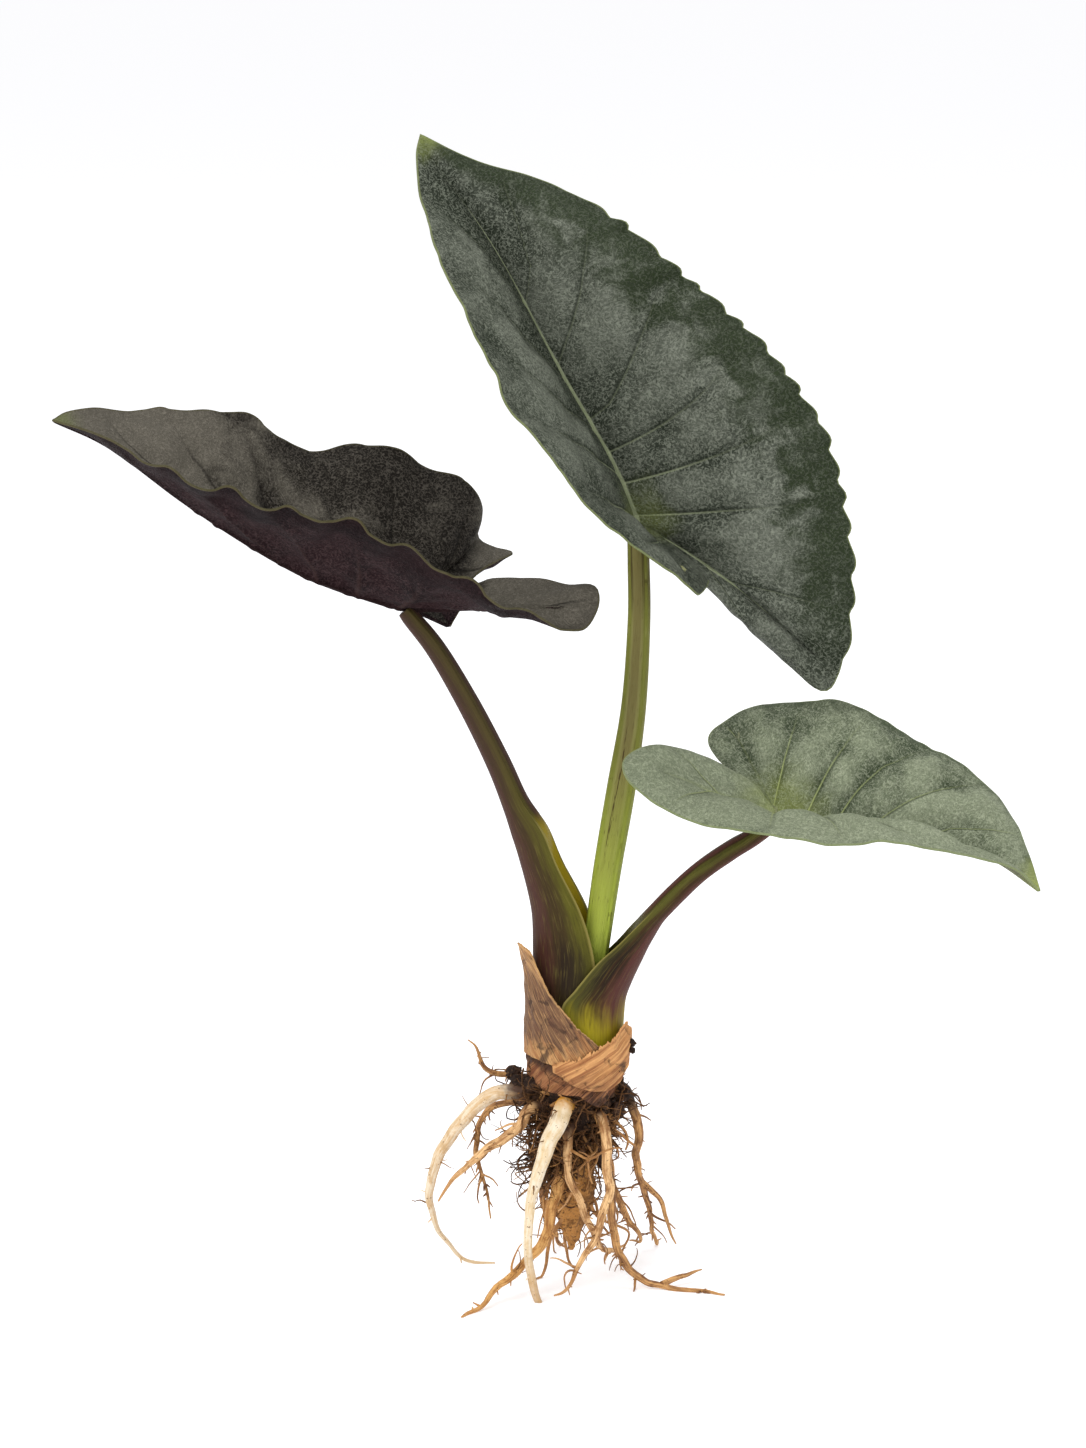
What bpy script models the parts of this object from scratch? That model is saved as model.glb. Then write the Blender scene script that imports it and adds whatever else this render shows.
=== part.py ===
"""Young alocasia with bare roots: corm, dry sheaths, three leaves and the roots that it stands on.

Run with blender --background --python part.py. The scene is in metres, +Z up, and the floor is Z = 0.
Lengths below are millimetres measured from the corm's upright axis; place() turns them into the scene's metres.
"""
import math
from dataclasses import dataclass

import bmesh
import bpy
import numpy as np
from mathutils import Vector, noise

MM = 0.001
AXIS_X = 7.6            # where the corm's axis stands, so that the plant's box is centred on the origin
AXIS_Y = 4.54
GAP = 0.3               # air between nodes that touch
BLADE_THICKNESS = 0.8
SHEATH_THICKNESS = 0.8
CORM_TOP = 60.0         # the leaf bases stand on the corm here
FLOOR_CLEARANCE = 1.2   # what doesn't carry the plant stays this far above the floor
ROOT_SEED = 9
FINE_ROOTS = 50
THREAD_STEP = 2.2       # a fine root grows by this at a time
THREAD_WANDER = 0.33
THREAD_TAPER = 0.35
THREAD_CLEARANCE = 0.75
RING_SPACING = 4.6      # between the rings of a thick root
ROOTLET_LENGTH = (6, 13)
FINE_ROOT_LENGTH = (14, 34)
FINE_ROOT_HEIGHT = (14, 51)
FINE_ROOT_ROOM = 1.2    # no fine root starts nearer than this to a thick one
WALL_EDGE = 0.7         # a stalk's wall thins to this at its free edges
GROOVE_DEPTH = 0.85     # how far a solid stalk's front fills up, as a share of its half depth
CREASE = 0.12           # crumple of the dry sheaths
FLARE_FROM, FLARE_OVER = 80.0, 9.0   # heights over which a sheath's tip leans out
SHARP_ANGLE = 50.0
MIDRIB_ROWS, RIB_ROWS, SINUS_ROWS = 26, 6, 3
BLADE_COLUMNS = (0.0, 0.34, 0.68, 0.88, 1.0)


@dataclass(frozen=True)
class Paint:
    """Plain colour of one node."""
    colour: tuple
    roughness: float = 0.7


PALE = Paint((0.62, 0.47, 0.29))
TAN = Paint((0.42, 0.25, 0.11))
BROWN = Paint((0.30, 0.15, 0.055))
DARK = Paint((0.075, 0.035, 0.018), 0.85)
DRY = Paint((0.36, 0.19, 0.085), 0.75)
DRY_RED = Paint((0.21, 0.085, 0.04), 0.75)


@dataclass(frozen=True)
class Half:
    """One side of a blade: its margin from the tip round the lobe to the sinus, and its basal rib's end."""
    margin: tuple
    rib_end: tuple
    stops: tuple        # shares of the margin facing the hub, the rib's end and the hub again
    lift: tuple         # how far, in millimetres, the half bulges midway between rib and margin
    wave: tuple         # direction of the margin's ruffle
    ruffle: float
    scallop: float
    notches: tuple      # shares of the margin at the dips between its scallops


@dataclass(frozen=True)
class Blade:
    """A leaf blade: midrib from tip to hub, sinus point and two halves."""
    name: str
    paint: Paint
    midrib: tuple
    sinus: tuple
    halves: tuple


@dataclass(frozen=True)
class Petiole:
    """A leaf stalk: stations of x, y, z, half depth, half width, half opening in degrees, wall and fill."""
    name: str
    paint: Paint
    outward: tuple
    stations: tuple


@dataclass(frozen=True)
class Sheath:
    """A dry sheath round the neck: rows of angle, lower height, upper height and radius of the wall."""
    name: str
    paint: Paint
    rows: tuple
    flare: float


@dataclass(frozen=True)
class Root:
    """A thick root: stations of x, y, z and radius, its branches, and how many rootlets stand on it."""
    name: str
    paint: Paint
    stations: tuple
    branches: tuple = ()
    rootlets: int = 5


BLADES = (
    Blade(
        "blade_centre", Paint((0.055, 0.085, 0.062), 0.55),
        midrib=((-40.9, 30.0, 299.4), (-35.9, 28.0, 290.7), (-20.8, 23.0, 268.8), (-4.7, 16.0, 239.2),
                (9.1, 11.0, 215.3), (15.6, 8.0, 200.0)),
        sinus=(34.3, 5.0, 186.2),
        halves=(
            Half(((-40.9, 30.0, 299.4), (-25.8, 27.0, 292.4), (-12.2, 24.0, 288.5), (0.8, 20.5, 284.0),
                  (13.1, 15.0, 276.8), (24.0, 11.0, 267.8), (35.5, 8.0, 258.3), (48.0, 4.5, 247.3),
                  (57.4, 2.5, 235.6), (64.1, 0.5, 224.9), (68.3, -1.0, 211.1), (70.9, -2.5, 196.0),
                  (71.6, -3.0, 181.7), (70.1, -3.0, 168.6), (67.6, -3.0, 161.8), (63.7, -3.0, 158.1),
                  (57.8, -1.5, 161.4), (50.1, 1.0, 167.4), (43.4, 3.0, 176.0), (34.3, 5.0, 186.2)),
                 rib_end=(57.8, 0.0, 170.0), stops=(0.66, 0.84, 0.97), lift=(-0.6, -3.6, 0.8),
                 wave=(0.1, -1.0, 0.2), ruffle=1.3, scallop=1.9,
                 notches=(0.20, 0.29, 0.345, 0.395, 0.445, 0.50, 0.565, 0.605, 0.66, 0.72, 0.78, 0.84, 0.91)),
            Half(((-40.9, 30.0, 299.4), (-41.9, 26.0, 293.7), (-40.4, 16.0, 283.7), (-35.2, -2.0, 270.6),
                  (-31.0, -11.0, 261.2), (-23.8, -22.0, 247.9), (-17.7, -29.0, 235.7), (-9.6, -34.5, 226.3),
                  (-2.8, -37.0, 217.0), (6.0, -38.0, 208.0), (15.6, -37.0, 200.2), (21.7, -34.5, 194.7),
                  (27.5, -29.0, 189.3), (30.9, -23.0, 186.1), (33.1, -10.0, 185.9), (34.3, 5.0, 186.2)),
                 rib_end=(27.5, -19.0, 191.5), stops=(0.72, 0.86, 0.95), lift=(3.0, 0.6, 2.0),
                 wave=(0.8, 0.1, 0.5), ruffle=1.0, scallop=0.9,
                 notches=(0.14, 0.22, 0.30, 0.37, 0.44, 0.51, 0.58, 0.65, 0.72, 0.79, 0.86)),
        )),
    Blade(
        "blade_left", Paint((0.06, 0.045, 0.05), 0.6),
        midrib=((-134.6, -8.0, 229.1), (-119.9, -8.0, 222.1), (-102.1, -8.0, 208.9), (-86.8, -7.0, 198.4),
                (-69.4, -6.0, 188.4), (-51.9, -5.0, 182.0), (-42.7, -5.0, 179.8)),
        sinus=(-33.0, 3.0, 173.7),
        halves=(
            Half(((-134.6, -8.0, 229.1), (-127.0, -14.0, 227.5), (-116.3, -22.0, 224.2), (-103.2, -29.0, 218.9),
                  (-85.3, -34.0, 213.3), (-68.0, -37.0, 208.6), (-52.4, -38.0, 204.7), (-37.3, -38.0, 196.3),
                  (-24.7, -38.0, 189.4), (-14.6, -37.0, 184.4), (-6.6, -35.0, 179.0), (0.6, -31.0, 178.3),
                  (3.8, -28.0, 180.8), (5.4, -24.5, 185.4), (3.8, -20.0, 188.2), (-4.5, -14.0, 187.3),
                  (-16.8, -8.0, 188.2), (-25.6, -4.0, 186.3), (-33.0, 3.0, 173.7)),
                 rib_end=(-4.0, -26.0, 182.5), stops=(0.54, 0.77, 0.94), lift=(0.0, 3.2, -2.6),
                 wave=(0.0, 0.5, 0.85), ruffle=1.3, scallop=0.9,
                 notches=(0.12, 0.18, 0.245, 0.30, 0.365, 0.43, 0.49, 0.55, 0.61, 0.67, 0.80, 0.87)),
            Half(((-134.6, -8.0, 229.1), (-130.0, -2.0, 230.7), (-117.4, 9.0, 229.9), (-108.4, 13.5, 230.1),
                  (-100.8, 17.0, 227.3), (-90.6, 21.0, 228.4), (-83.9, 23.5, 225.8), (-77.8, 25.5, 219.2),
                  (-69.5, 27.0, 217.2), (-56.7, 30.0, 218.1), (-47.8, 31.0, 216.1), (-37.0, 31.5, 211.0),
                  (-29.1, 31.5, 208.9), (-24.9, 31.0, 201.0), (-26.0, 30.0, 193.9), (-22.0, 29.0, 191.1),
                  (-17.0, 28.0, 189.7), (-21.4, 20.0, 188.2), (-27.9, 10.0, 184.4), (-33.0, 3.0, 173.7)),
                 rib_end=(-29.0, 22.0, 192.0), stops=(0.62, 0.80, 0.95), lift=(0.0, -3.0, -2.6),
                 wave=(0.0, -0.8, 0.5), ruffle=1.6, scallop=0.6,
                 notches=(0.13, 0.20, 0.28, 0.35, 0.43, 0.51, 0.59, 0.66, 0.73, 0.85)),
        )),
    Blade(
        "blade_right", Paint((0.16, 0.21, 0.14), 0.6),
        midrib=((119.3, -20.0, 108.4), (107.9, -19.0, 116.4), (93.5, -18.0, 121.9), (78.3, -17.0, 125.4),
                (61.8, -16.0, 126.3), (51.8, -16.0, 127.1)),
        sinus=(43.2, -10.0, 134.9),
        halves=(
            Half(((119.3, -20.0, 108.4), (116.6, -14.0, 116.4), (110.5, -4.0, 129.0), (100.2, 3.0, 136.9),
                  (86.5, 7.0, 145.4), (71.2, 9.0, 151.3), (58.9, 9.0, 153.4), (47.3, 8.0, 152.2),
                  (38.4, 6.0, 147.7), (34.5, 4.0, 143.7), (37.2, -2.0, 139.7), (43.2, -10.0, 134.9)),
                 rib_end=(41.5, 0.5, 145.4), stops=(0.63, 0.83, 0.96), lift=(0.0, -1.2, 2.4),
                 wave=(0.0, -0.6, 0.8), ruffle=0.9, scallop=0.5,
                 notches=(0.15, 0.26, 0.38, 0.50, 0.62, 0.74, 0.86)),
            Half(((119.3, -20.0, 108.4), (112.5, -26.0, 114.9), (99.8, -34.0, 120.9), (87.4, -40.0, 124.2),
                  (72.4, -44.0, 125.8), (57.4, -45.0, 127.3), (42.5, -44.0, 128.1), (27.9, -42.0, 132.1),
                  (15.3, -37.0, 137.3), (11.3, -32.0, 143.4), (17.5, -26.0, 147.4), (26.1, -20.0, 146.1),
                  (36.0, -14.0, 141.4), (43.2, -10.0, 134.9)),
                 rib_end=(22.5, -29.5, 140.8), stops=(0.48, 0.76, 0.95), lift=(0.0, 0.0, 2.2),
                 wave=(0.0, 0.0, 1.0), ruffle=0.9, scallop=0.5,
                 notches=(0.13, 0.24, 0.35, 0.46, 0.57, 0.68, 0.80)),
        )),
)

PETIOLES = (
    Petiole(
        "petiole_centre", Paint((0.20, 0.24, 0.06), 0.45), outward=(0.2, 1.0, 0.0),
        stations=((0.6, 0.8, 60.3, 4.0, 4.0, 125, 2.5, 1.0), (2.6, 0.8, 74.0, 3.8, 3.8, 125, 2.5, 1.0),
                  (5.2, 0.5, 90.5, 3.5, 3.5, 125, 2.5, 1.0), (8.0, 1.6, 110.0, 3.7, 3.7, 125, 2.5, 1.0),
                  (11.6, 3.8, 131.0, 3.8, 3.8, 125, 2.5, 1.0), (14.8, 6.2, 152.0, 3.3, 3.3, 125, 2.5, 1.0),
                  (16.2, 9.6, 174.0, 3.0, 3.0, 125, 2.5, 1.0), (16.1, 12.2, 189.0, 2.9, 2.9, 125, 2.5, 1.0),
                  (15.8, 11.8, 197.0, 2.5, 2.7, 125, 2.5, 1.0))),
    Petiole(
        "petiole_left", Paint((0.12, 0.085, 0.045), 0.45), outward=(-1.0, 0.15, 0.0),
        stations=((-1.0, 0.4, 60.3, 9.6, 8.6, 112, 3.2, 0.0), (-0.8, 0.4, 70.0, 10.2, 8.2, 112, 3.3, 0.0),
                  (-0.8, 0.2, 79.5, 10.6, 7.5, 114, 3.4, 0.0), (-0.9, 0.2, 87.0, 10.7, 6.5, 118, 3.5, 0.05),
                  (-2.6, 0.1, 99.0, 9.4, 5.8, 118, 3.8, 0.2), (-7.7, -0.4, 112.0, 7.2, 4.9, 117, 3.8, 0.5),
                  (-10.8, -0.9, 120.0, 6.3, 4.3, 118, 3.4, 0.75), (-15.6, -1.6, 128.0, 4.0, 3.7, 125, 3.0, 1.0),
                  (-20.3, -2.6, 139.2, 3.5, 3.5, 125, 2.5, 1.0), (-27.7, -4.0, 154.3, 3.2, 3.2, 125, 2.5, 1.0),
                  (-36.0, -5.0, 168.8, 2.9, 2.9, 125, 2.5, 1.0), (-42.6, -5.0, 177.3, 2.6, 2.6, 125, 2.5, 1.0))),
    Petiole(
        "petiole_right", Paint((0.11, 0.075, 0.05), 0.45), outward=(1.0, 0.12, -0.3),
        stations=((0.8, 0.3, 60.3, 10.9, 10.9, 110, 1.5, 0.0), (0.7, 0.3, 68.0, 11.6, 10.7, 112, 1.5, 0.0),
                  (0.9, 0.3, 75.0, 12.0, 10.1, 112, 1.5, 0.0), (3.7, 0.2, 79.5, 10.6, 9.4, 112, 1.6, 0.0),
                  (8.8, -0.6, 86.5, 8.6, 7.6, 112, 2.0, 0.0), (15.0, -2.0, 92.0, 6.3, 5.4, 114, 2.6, 0.3),
                  (21.8, -4.6, 99.4, 4.0, 3.8, 120, 2.5, 0.85), (31.0, -8.8, 110.2, 2.9, 2.9, 125, 2.5, 1.0),
                  (39.2, -12.4, 117.4, 2.7, 2.7, 125, 2.5, 1.0), (44.8, -14.4, 121.2, 2.5, 2.5, 125, 2.5, 1.0),
                  (48.8, -15.4, 123.6, 2.3, 2.3, 125, 2.5, 1.0))),
)

SHEATHS = (
    Sheath("sheath_left", DRY, flare=1.6, rows=(
        (118, 59.5, 64.0, 13.1), (140, 59.5, 69.0, 13.1), (160, 60.0, 76.0, 13.2), (178, 61.0, 83.5, 13.3),
        (190, 61.5, 91.0, 13.4), (203, 61.5, 87.0, 13.3), (217, 61.0, 82.0, 13.0), (230, 60.5, 79.0, 13.0),
        (254, 59.8, 75.0, 13.0), (273, 59.5, 70.0, 13.0), (292, 59.5, 66.2, 13.0), (303, 59.5, 63.0, 13.0))),
    Sheath("sheath_right", DRY, flare=0.6, rows=(
        (243, 58.6, 60.6, 14.3), (254, 57.2, 61.2, 14.2), (265, 55.6, 61.8, 14.2), (277, 54.4, 62.6, 14.2),
        (290, 53.6, 64.4, 14.2), (306, 53.6, 66.4, 14.2), (321, 55.2, 68.2, 14.2), (334, 58.4, 70.2, 14.4),
        (350, 60.0, 68.0, 14.3), (372, 60.4, 66.6, 14.2), (396, 60.4, 65.0, 14.2), (416, 60.6, 63.0, 14.2))),
    Sheath("sheath_low", DRY_RED, flare=0.0, rows=(
        (160, 57.2, 59.0, 12.6), (180, 57.0, 59.2, 12.5), (205, 55.6, 59.2, 12.2), (232, 53.6, 58.8, 12.2),
        (255, 53.2, 58.8, 12.2), (272, 52.9, 58.8, 12.2), (286, 50.0, 58.8, 12.2), (300, 48.6, 58.8, 12.2),
        (316, 50.2, 58.8, 12.2), (334, 53.4, 58.8, 12.2), (352, 55.8, 58.8, 12.2), (370, 56.6, 58.8, 12.2))),
)

CORM_PROFILE = ((60.0, 9.9), (57.5, 10.5), (54.0, 10.6), (50.0, 10.2), (46.0, 8.8), (41.0, 6.6), (36.0, 5.0),
                (31.0, 4.1), (26.0, 3.5), (20.5, 3.3), (16.0, 2.5), (12.0, 1.5), (8.0, 0.8))
CORM_DRIFT = (-1.6, 2.4)   # how far the old end of the corm hangs off its axis
CORM_SIDES = 16
CORM_BUMP = 0.09
CORM_LUMPS = ((-12.8, -0.4, 52.2, 3.6), (-16.6, 0.8, 55.3, 2.0), (9.8, -2.2, 46.4, 2.8), (-5.6, 4.6, 33.0, 2.6),
              (1.8, 1.6, 25.4, 2.3), (-4.6, 1.2, 19.6, 2.0))

ROOTS = (
    Root("root_pale_front", PALE, rootlets=4, stations=(
        (-2.4, -6.0, 48.8, 2.5), (-3.6, -12.6, 49.0, 2.55), (-5.4, -16.2, 45.2, 2.4), (-7.6, -18.8, 40.6, 2.1),
        (-10.4, -21.4, 33.0, 1.7), (-12.3, -23.0, 24.0, 1.35), (-12.7, -24.2, 14.0, 1.25), (-11.8, -24.6, 6.0, 1.3),
        (-9.8, -24.2, -0.4, 1.2))),
    Root("root_pale_left", PALE, rootlets=4, stations=(
        (-8.0, -2.0, 49.6, 2.2), (-16.6, -3.4, 51.2, 2.1), (-22.7, -4.2, 50.2, 1.95), (-30.1, -4.2, 43.6, 1.8),
        (-35.7, -2.4, 35.0, 1.6), (-38.6, 1.0, 25.2, 1.35), (-38.2, 5.4, 15.8, 1.05), (-34.8, 9.4, 7.6, 0.9),
        (-30.6, 12.0, 2.2, 0.85), (-27.0, 13.2, 0.6, 0.85), (-22.0, 13.8, 0.15, 0.75))),
    Root("root_tan_left", TAN, rootlets=6, stations=(
        (-7.6, -4.4, 48.0, 1.6), (-12.6, -8.2, 47.6, 1.5), (-15.2, -9.6, 43.7, 1.45), (-19.6, -11.0, 40.2, 1.35),
        (-25.3, -13.0, 36.4, 1.2), (-30.2, -15.0, 32.6, 1.0), (-33.6, -16.0, 28.6, 0.8), (-35.7, -16.4, 25.0, 0.6))),
    Root("root_thin_left", BROWN, rootlets=9, stations=(
        (-7.8, 3.4, 46.6, 1.0), (-15.0, 4.6, 46.4, 0.95), (-21.6, 5.2, 45.4, 0.9), (-25.8, 5.8, 40.4, 0.8),
        (-26.6, 6.2, 35.4, 0.75), (-26.0, 6.6, 29.6, 0.7), (-23.9, 7.6, 22.0, 0.6), (-22.4, 8.6, 13.8, 0.5))),
    Root("root_upper_left", BROWN, rootlets=3, stations=(
        (-9.0, 2.4, 53.2, 1.0), (-17.0, 5.4, 53.6, 0.9), (-22.8, 4.6, 55.0, 0.8), (-25.4, 3.6, 58.2, 0.7),
        (-27.0, 3.2, 62.0, 0.55), (-28.8, 3.4, 63.8, 0.45))),
    Root("root_tan_middle", TAN, rootlets=7, stations=(
        (-1.6, -3.6, 44.0, 1.5), (-2.0, -9.4, 42.6, 1.45), (-2.4, -11.8, 36.6, 1.4), (-1.3, -13.4, 29.4, 1.3),
        (1.6, -12.6, 21.4, 1.2), (5.2, -8.4, 13.0, 1.1), (8.0, 0.6, 7.0, 0.95), (11.0, 9.6, 4.4, 0.8),
        (13.0, 19.0, 3.4, 0.6))),
    Root("root_tan_right", TAN, rootlets=6, stations=(
        (3.4, -3.4, 46.4, 1.5), (6.6, -9.6, 45.4, 1.45), (7.6, -13.0, 37.0, 1.35), (8.3, -16.4, 28.4, 1.25),
        (6.2, -19.4, 20.4, 1.2), (3.2, -22.0, 14.0, 1.1), (-0.4, -24.6, 8.8, 1.0), (-2.6, -28.4, 5.0, 0.85),
        (-5.6, -31.4, 3.6, 0.6))),
    Root("root_floor_left", BROWN, rootlets=9, stations=(
        (-1.8, -1.6, 33.0, 1.5), (-5.0, -6.6, 27.4, 1.45), (-6.7, -10.4, 19.6, 1.4), (-10.0, -14.6, 12.0, 1.35),
        (-15.6, -19.6, 7.4, 1.25), (-21.2, -26.2, 4.2, 1.1), (-25.6, -32.8, 1.1, 1.0), (-29.8, -39.0, 0.2, 0.85))),
    Root("root_floor_right", BROWN, rootlets=10, stations=(
        (2.4, 0.4, 36.0, 1.3), (7.4, -1.2, 30.6, 1.25), (9.0, -3.2, 21.4, 1.2), (9.6, -5.4, 12.8, 1.15),
        (12.8, -8.4, 5.8, 1.15), (17.4, -10.4, 2.2, 1.1), (24.5, -12.6, 0.7, 1.05), (31.4, -14.8, 0.5, 0.9),
        (38.2, -17.6, 0.4, 0.7)),
         branches=(((22.4, -11.8, 1.4, 0.8), (27.6, -7.0, 2.4, 0.7), (33.0, -1.6, 2.6, 0.5)),)),
    Root("root_outer_right", BROWN, rootlets=10, stations=(
        (6.4, 2.6, 50.4, 1.4), (12.2, 4.6, 50.6, 1.3), (14.9, 5.6, 44.6, 1.25), (16.4, 6.8, 37.0, 1.2),
        (15.6, 9.4, 28.6, 1.1), (17.8, 13.4, 21.0, 1.0), (19.8, 20.0, 12.0, 0.9), (20.6, 26.6, 5.2, 0.85),
        (21.4, 31.4, 1.0, 0.85), (22.0, 36.0, 0.2, 0.75)),
         branches=(((17.0, 12.0, 23.6, 0.8), (21.6, 14.0, 18.2, 0.7), (24.2, 16.4, 10.4, 0.6),
                    (26.4, 18.6, 4.2, 0.5)),)),
    Root("root_inner_right", BROWN, rootlets=7, stations=(
        (4.4, 4.6, 40.0, 1.2), (8.0, 6.8, 30.4, 1.1), (10.4, 8.6, 20.8, 1.05), (13.6, 12.2, 12.6, 0.95),
        (16.4, 15.4, 8.8, 0.85), (17.2, 20.4, 4.6, 0.7), (14.6, 25.6, 3.4, 0.5))),
    Root("root_back", BROWN, rootlets=8, stations=(
        (-2.0, 4.0, 44.0, 1.4), (-5.4, 10.6, 40.6, 1.3), (-8.4, 15.4, 32.0, 1.2), (-9.4, 19.0, 22.0, 1.05),
        (-8.0, 22.4, 12.4, 0.95), (-5.6, 26.4, 5.0, 0.9), (-4.4, 30.6, 1.0, 0.85), (-3.0, 35.0, 0.2, 0.75))),
)


def place(point):
    """Scene position of a point given in millimetres from the corm's axis."""
    return Vector(((point[0] + AXIS_X) * MM, (point[1] + AXIS_Y) * MM, point[2] * MM))


def unit(vector):
    """The vector at length one."""
    vector = np.asarray(vector, float)
    return vector / max(np.linalg.norm(vector), 1e-9)


def smooth(stations, count, samples=12):
    """Rows read evenly along a Catmull-Rom curve through the stations; the first three columns are x, y, z."""
    rows = np.array(stations, float)
    padded = np.vstack([2 * rows[0] - rows[1], rows, 2 * rows[-1] - rows[-2]])
    curve = []
    for a, b, c, d in zip(padded, padded[1:], padded[2:], padded[3:]):
        for t in np.arange(samples) / samples:
            curve.append(0.5 * (2 * b + (c - a) * t + (2 * a - 5 * b + 4 * c - d) * t ** 2
                                + (3 * b - a - 3 * c + d) * t ** 3))
    curve = np.array(curve + [rows[-1]])
    run = np.concatenate([[0], np.cumsum(np.linalg.norm(np.diff(curve[:, :3], axis=0), axis=1))])
    at = np.linspace(0, run[-1], count)
    return np.column_stack([np.interp(at, run, column) for column in curve.T])


def frames(path, outward):
    """For each point of a path, the outward direction and the one across it, both square to the path."""
    along = np.gradient(path, axis=0)
    pairs = []
    for tangent in along:
        tangent = unit(tangent)
        out = unit(np.asarray(outward, float) - np.dot(outward, tangent) * tangent)
        pairs.append((out, np.cross(tangent, out)))
    return pairs


def new_object(name, bm, paint, visible=True):
    """Turns a bmesh into an object with its own material."""
    bmesh.ops.recalc_face_normals(bm, faces=bm.faces)
    bmesh.ops.triangulate(bm, faces=bm.faces)
    mesh = bpy.data.meshes.new(name)
    bm.to_mesh(mesh)
    bm.free()
    thing = bpy.data.objects.new(name, mesh)
    bpy.context.scene.collection.objects.link(thing)
    if visible:
        material = bpy.data.materials.new(name)
        material.use_nodes = True
        shader = material.node_tree.nodes["Principled BSDF"]
        shader.inputs["Base Color"].default_value = (*paint.colour, 1.0)
        shader.inputs["Roughness"].default_value = paint.roughness
        shader.inputs["Metallic"].default_value = 0.0
        mesh.materials.append(material)
        mesh.shade_smooth()
        mesh.set_sharp_from_angle(angle=math.radians(SHARP_ANGLE))
    else:
        thing.hide_render = True
        thing.display_type = "WIRE"
    return thing


def loft(rings):
    """A closed bmesh skin over rings of points, with a flat cap at each end."""
    bm = bmesh.new()
    loops = [[bm.verts.new(place(point)) for point in ring] for ring in rings]
    for low, high in zip(loops, loops[1:]):
        for i in range(len(low)):
            j = (i + 1) % len(low)
            bm.faces.new((low[i], low[j], high[j], high[i]))
    bm.faces.new(loops[0])
    bm.faces.new(loops[-1])
    return bm


def strand_rings(stations, sides, count, grow=0.0):
    """Round rings along a root."""
    rows = smooth(stations, count)
    turns = np.arange(sides) * 2 * math.pi / sides
    rings = []
    for row, (out, across) in zip(rows, frames(rows[:, :3], (0.31, 0.93, 0.2))):
        radius = row[3] + grow
        rings.append([row[:3] + radius * (math.cos(turn) * out + math.sin(turn) * across) for turn in turns])
    return rings


def solidify(thing, thickness):
    """Gives a sheet its thickness, the same amount on both sides."""
    skin = thing.modifiers.new("thickness", "SOLIDIFY")
    skin.thickness = thickness * MM
    skin.offset = 0.0


def bake(thing):
    """Applies the modifiers of an object."""
    bpy.context.view_layer.update()
    graph = bpy.context.evaluated_depsgraph_get()
    mesh = bpy.data.meshes.new_from_object(thing.evaluated_get(graph))
    thing.modifiers.clear()
    thing.data = mesh


def combine(target, others, operation):
    """Joins helper objects to the target, or cuts them out of it, in one Boolean, and removes them."""
    if not others:
        return
    group = bpy.data.collections.new(f"{target.name} {operation.lower()}")
    for other in others:
        group.objects.link(other)
    step = target.modifiers.new("join", "BOOLEAN")
    step.operand_type = "COLLECTION"
    step.collection = group
    step.operation = operation
    step.solver = "MANIFOLD"
    bake(target)
    for other in others:
        bpy.data.objects.remove(other)
    bpy.data.collections.remove(group)


def keep_largest(thing):
    """Drops loose scraps and the walls of sealed hollows, which a cut or a union can leave."""
    bm = bmesh.new()
    bm.from_mesh(thing.data)
    seen, pieces = set(), []
    for start in bm.faces:
        if start in seen:
            continue
        piece, queue = [], [start]
        seen.add(start)
        while queue:
            face = queue.pop()
            piece.append(face)
            for edge in face.edges:
                for other in edge.link_faces if len(edge.link_faces) == 2 else ():
                    if other not in seen:
                        seen.add(other)
                        queue.append(other)
        pieces.append(piece)
    pieces.sort(key=len)
    scraps = [face for piece in pieces[:-1] for face in piece]
    bmesh.ops.delete(bm, geom=scraps, context="FACES")
    bm.to_mesh(thing.data)
    bm.free()


def rest_on_floor(thing):
    """Flattens what dips under the floor, so that the root stands on a small flat spot."""
    for vert in thing.data.vertices:
        vert.co.z = max(vert.co.z, 0.0)
    thing.data.update()


def half_rows(blade, half):
    """Pairs of a point on the ribs and the point of the margin that it faces, with the margin's share."""
    margin = smooth(half.margin, 240)
    midrib = smooth(blade.midrib, MIDRIB_ROWS + 1)
    hub, rib_end, sinus = (np.array(p) for p in (blade.midrib[-1], half.rib_end, blade.sinus))
    legs = [(midrib, 0.0, half.stops[0]),
            (np.linspace(hub, rib_end, RIB_ROWS + 1), half.stops[0], half.stops[1]),
            (np.linspace(rib_end, hub, RIB_ROWS + 1), half.stops[1], half.stops[2]),
            (np.linspace(hub, sinus, SINUS_ROWS + 1), half.stops[2], 1.0)]
    pairs = []
    for number, (skeleton, start, end) in enumerate(legs):
        shares = np.linspace(start, end, len(skeleton))
        for point, share in list(zip(skeleton, shares))[1 if number else 0:]:
            edge = [np.interp(share * (len(margin) - 1), np.arange(len(margin)), margin[:, k]) for k in range(3)]
            pairs.append((np.array(point), np.array(edge), share))
    return pairs


def blade_point(half, rib, edge, share, t):
    """A point of the blade between its rib (t = 0) and its margin (t = 1)."""
    across = edge - rib
    belly = min(np.linalg.norm(across) / 30.0, 1.0)
    phase = np.interp(share, (0.0, *half.notches, 1.0), range(len(half.notches) + 2))
    fade = min(share, 1 - share, 0.08) / 0.08
    ripple = math.sin(math.pi * phase) * t ** 3 * fade * belly
    notch = (abs(math.sin(math.pi * phase)) - 0.6) * t ** 4 * fade * belly
    return (rib + across * t + np.array(half.lift) * 4 * t * (1 - t) * belly
            + unit(half.wave) * half.ruffle * ripple + unit(across) * half.scallop * notch)


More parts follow.
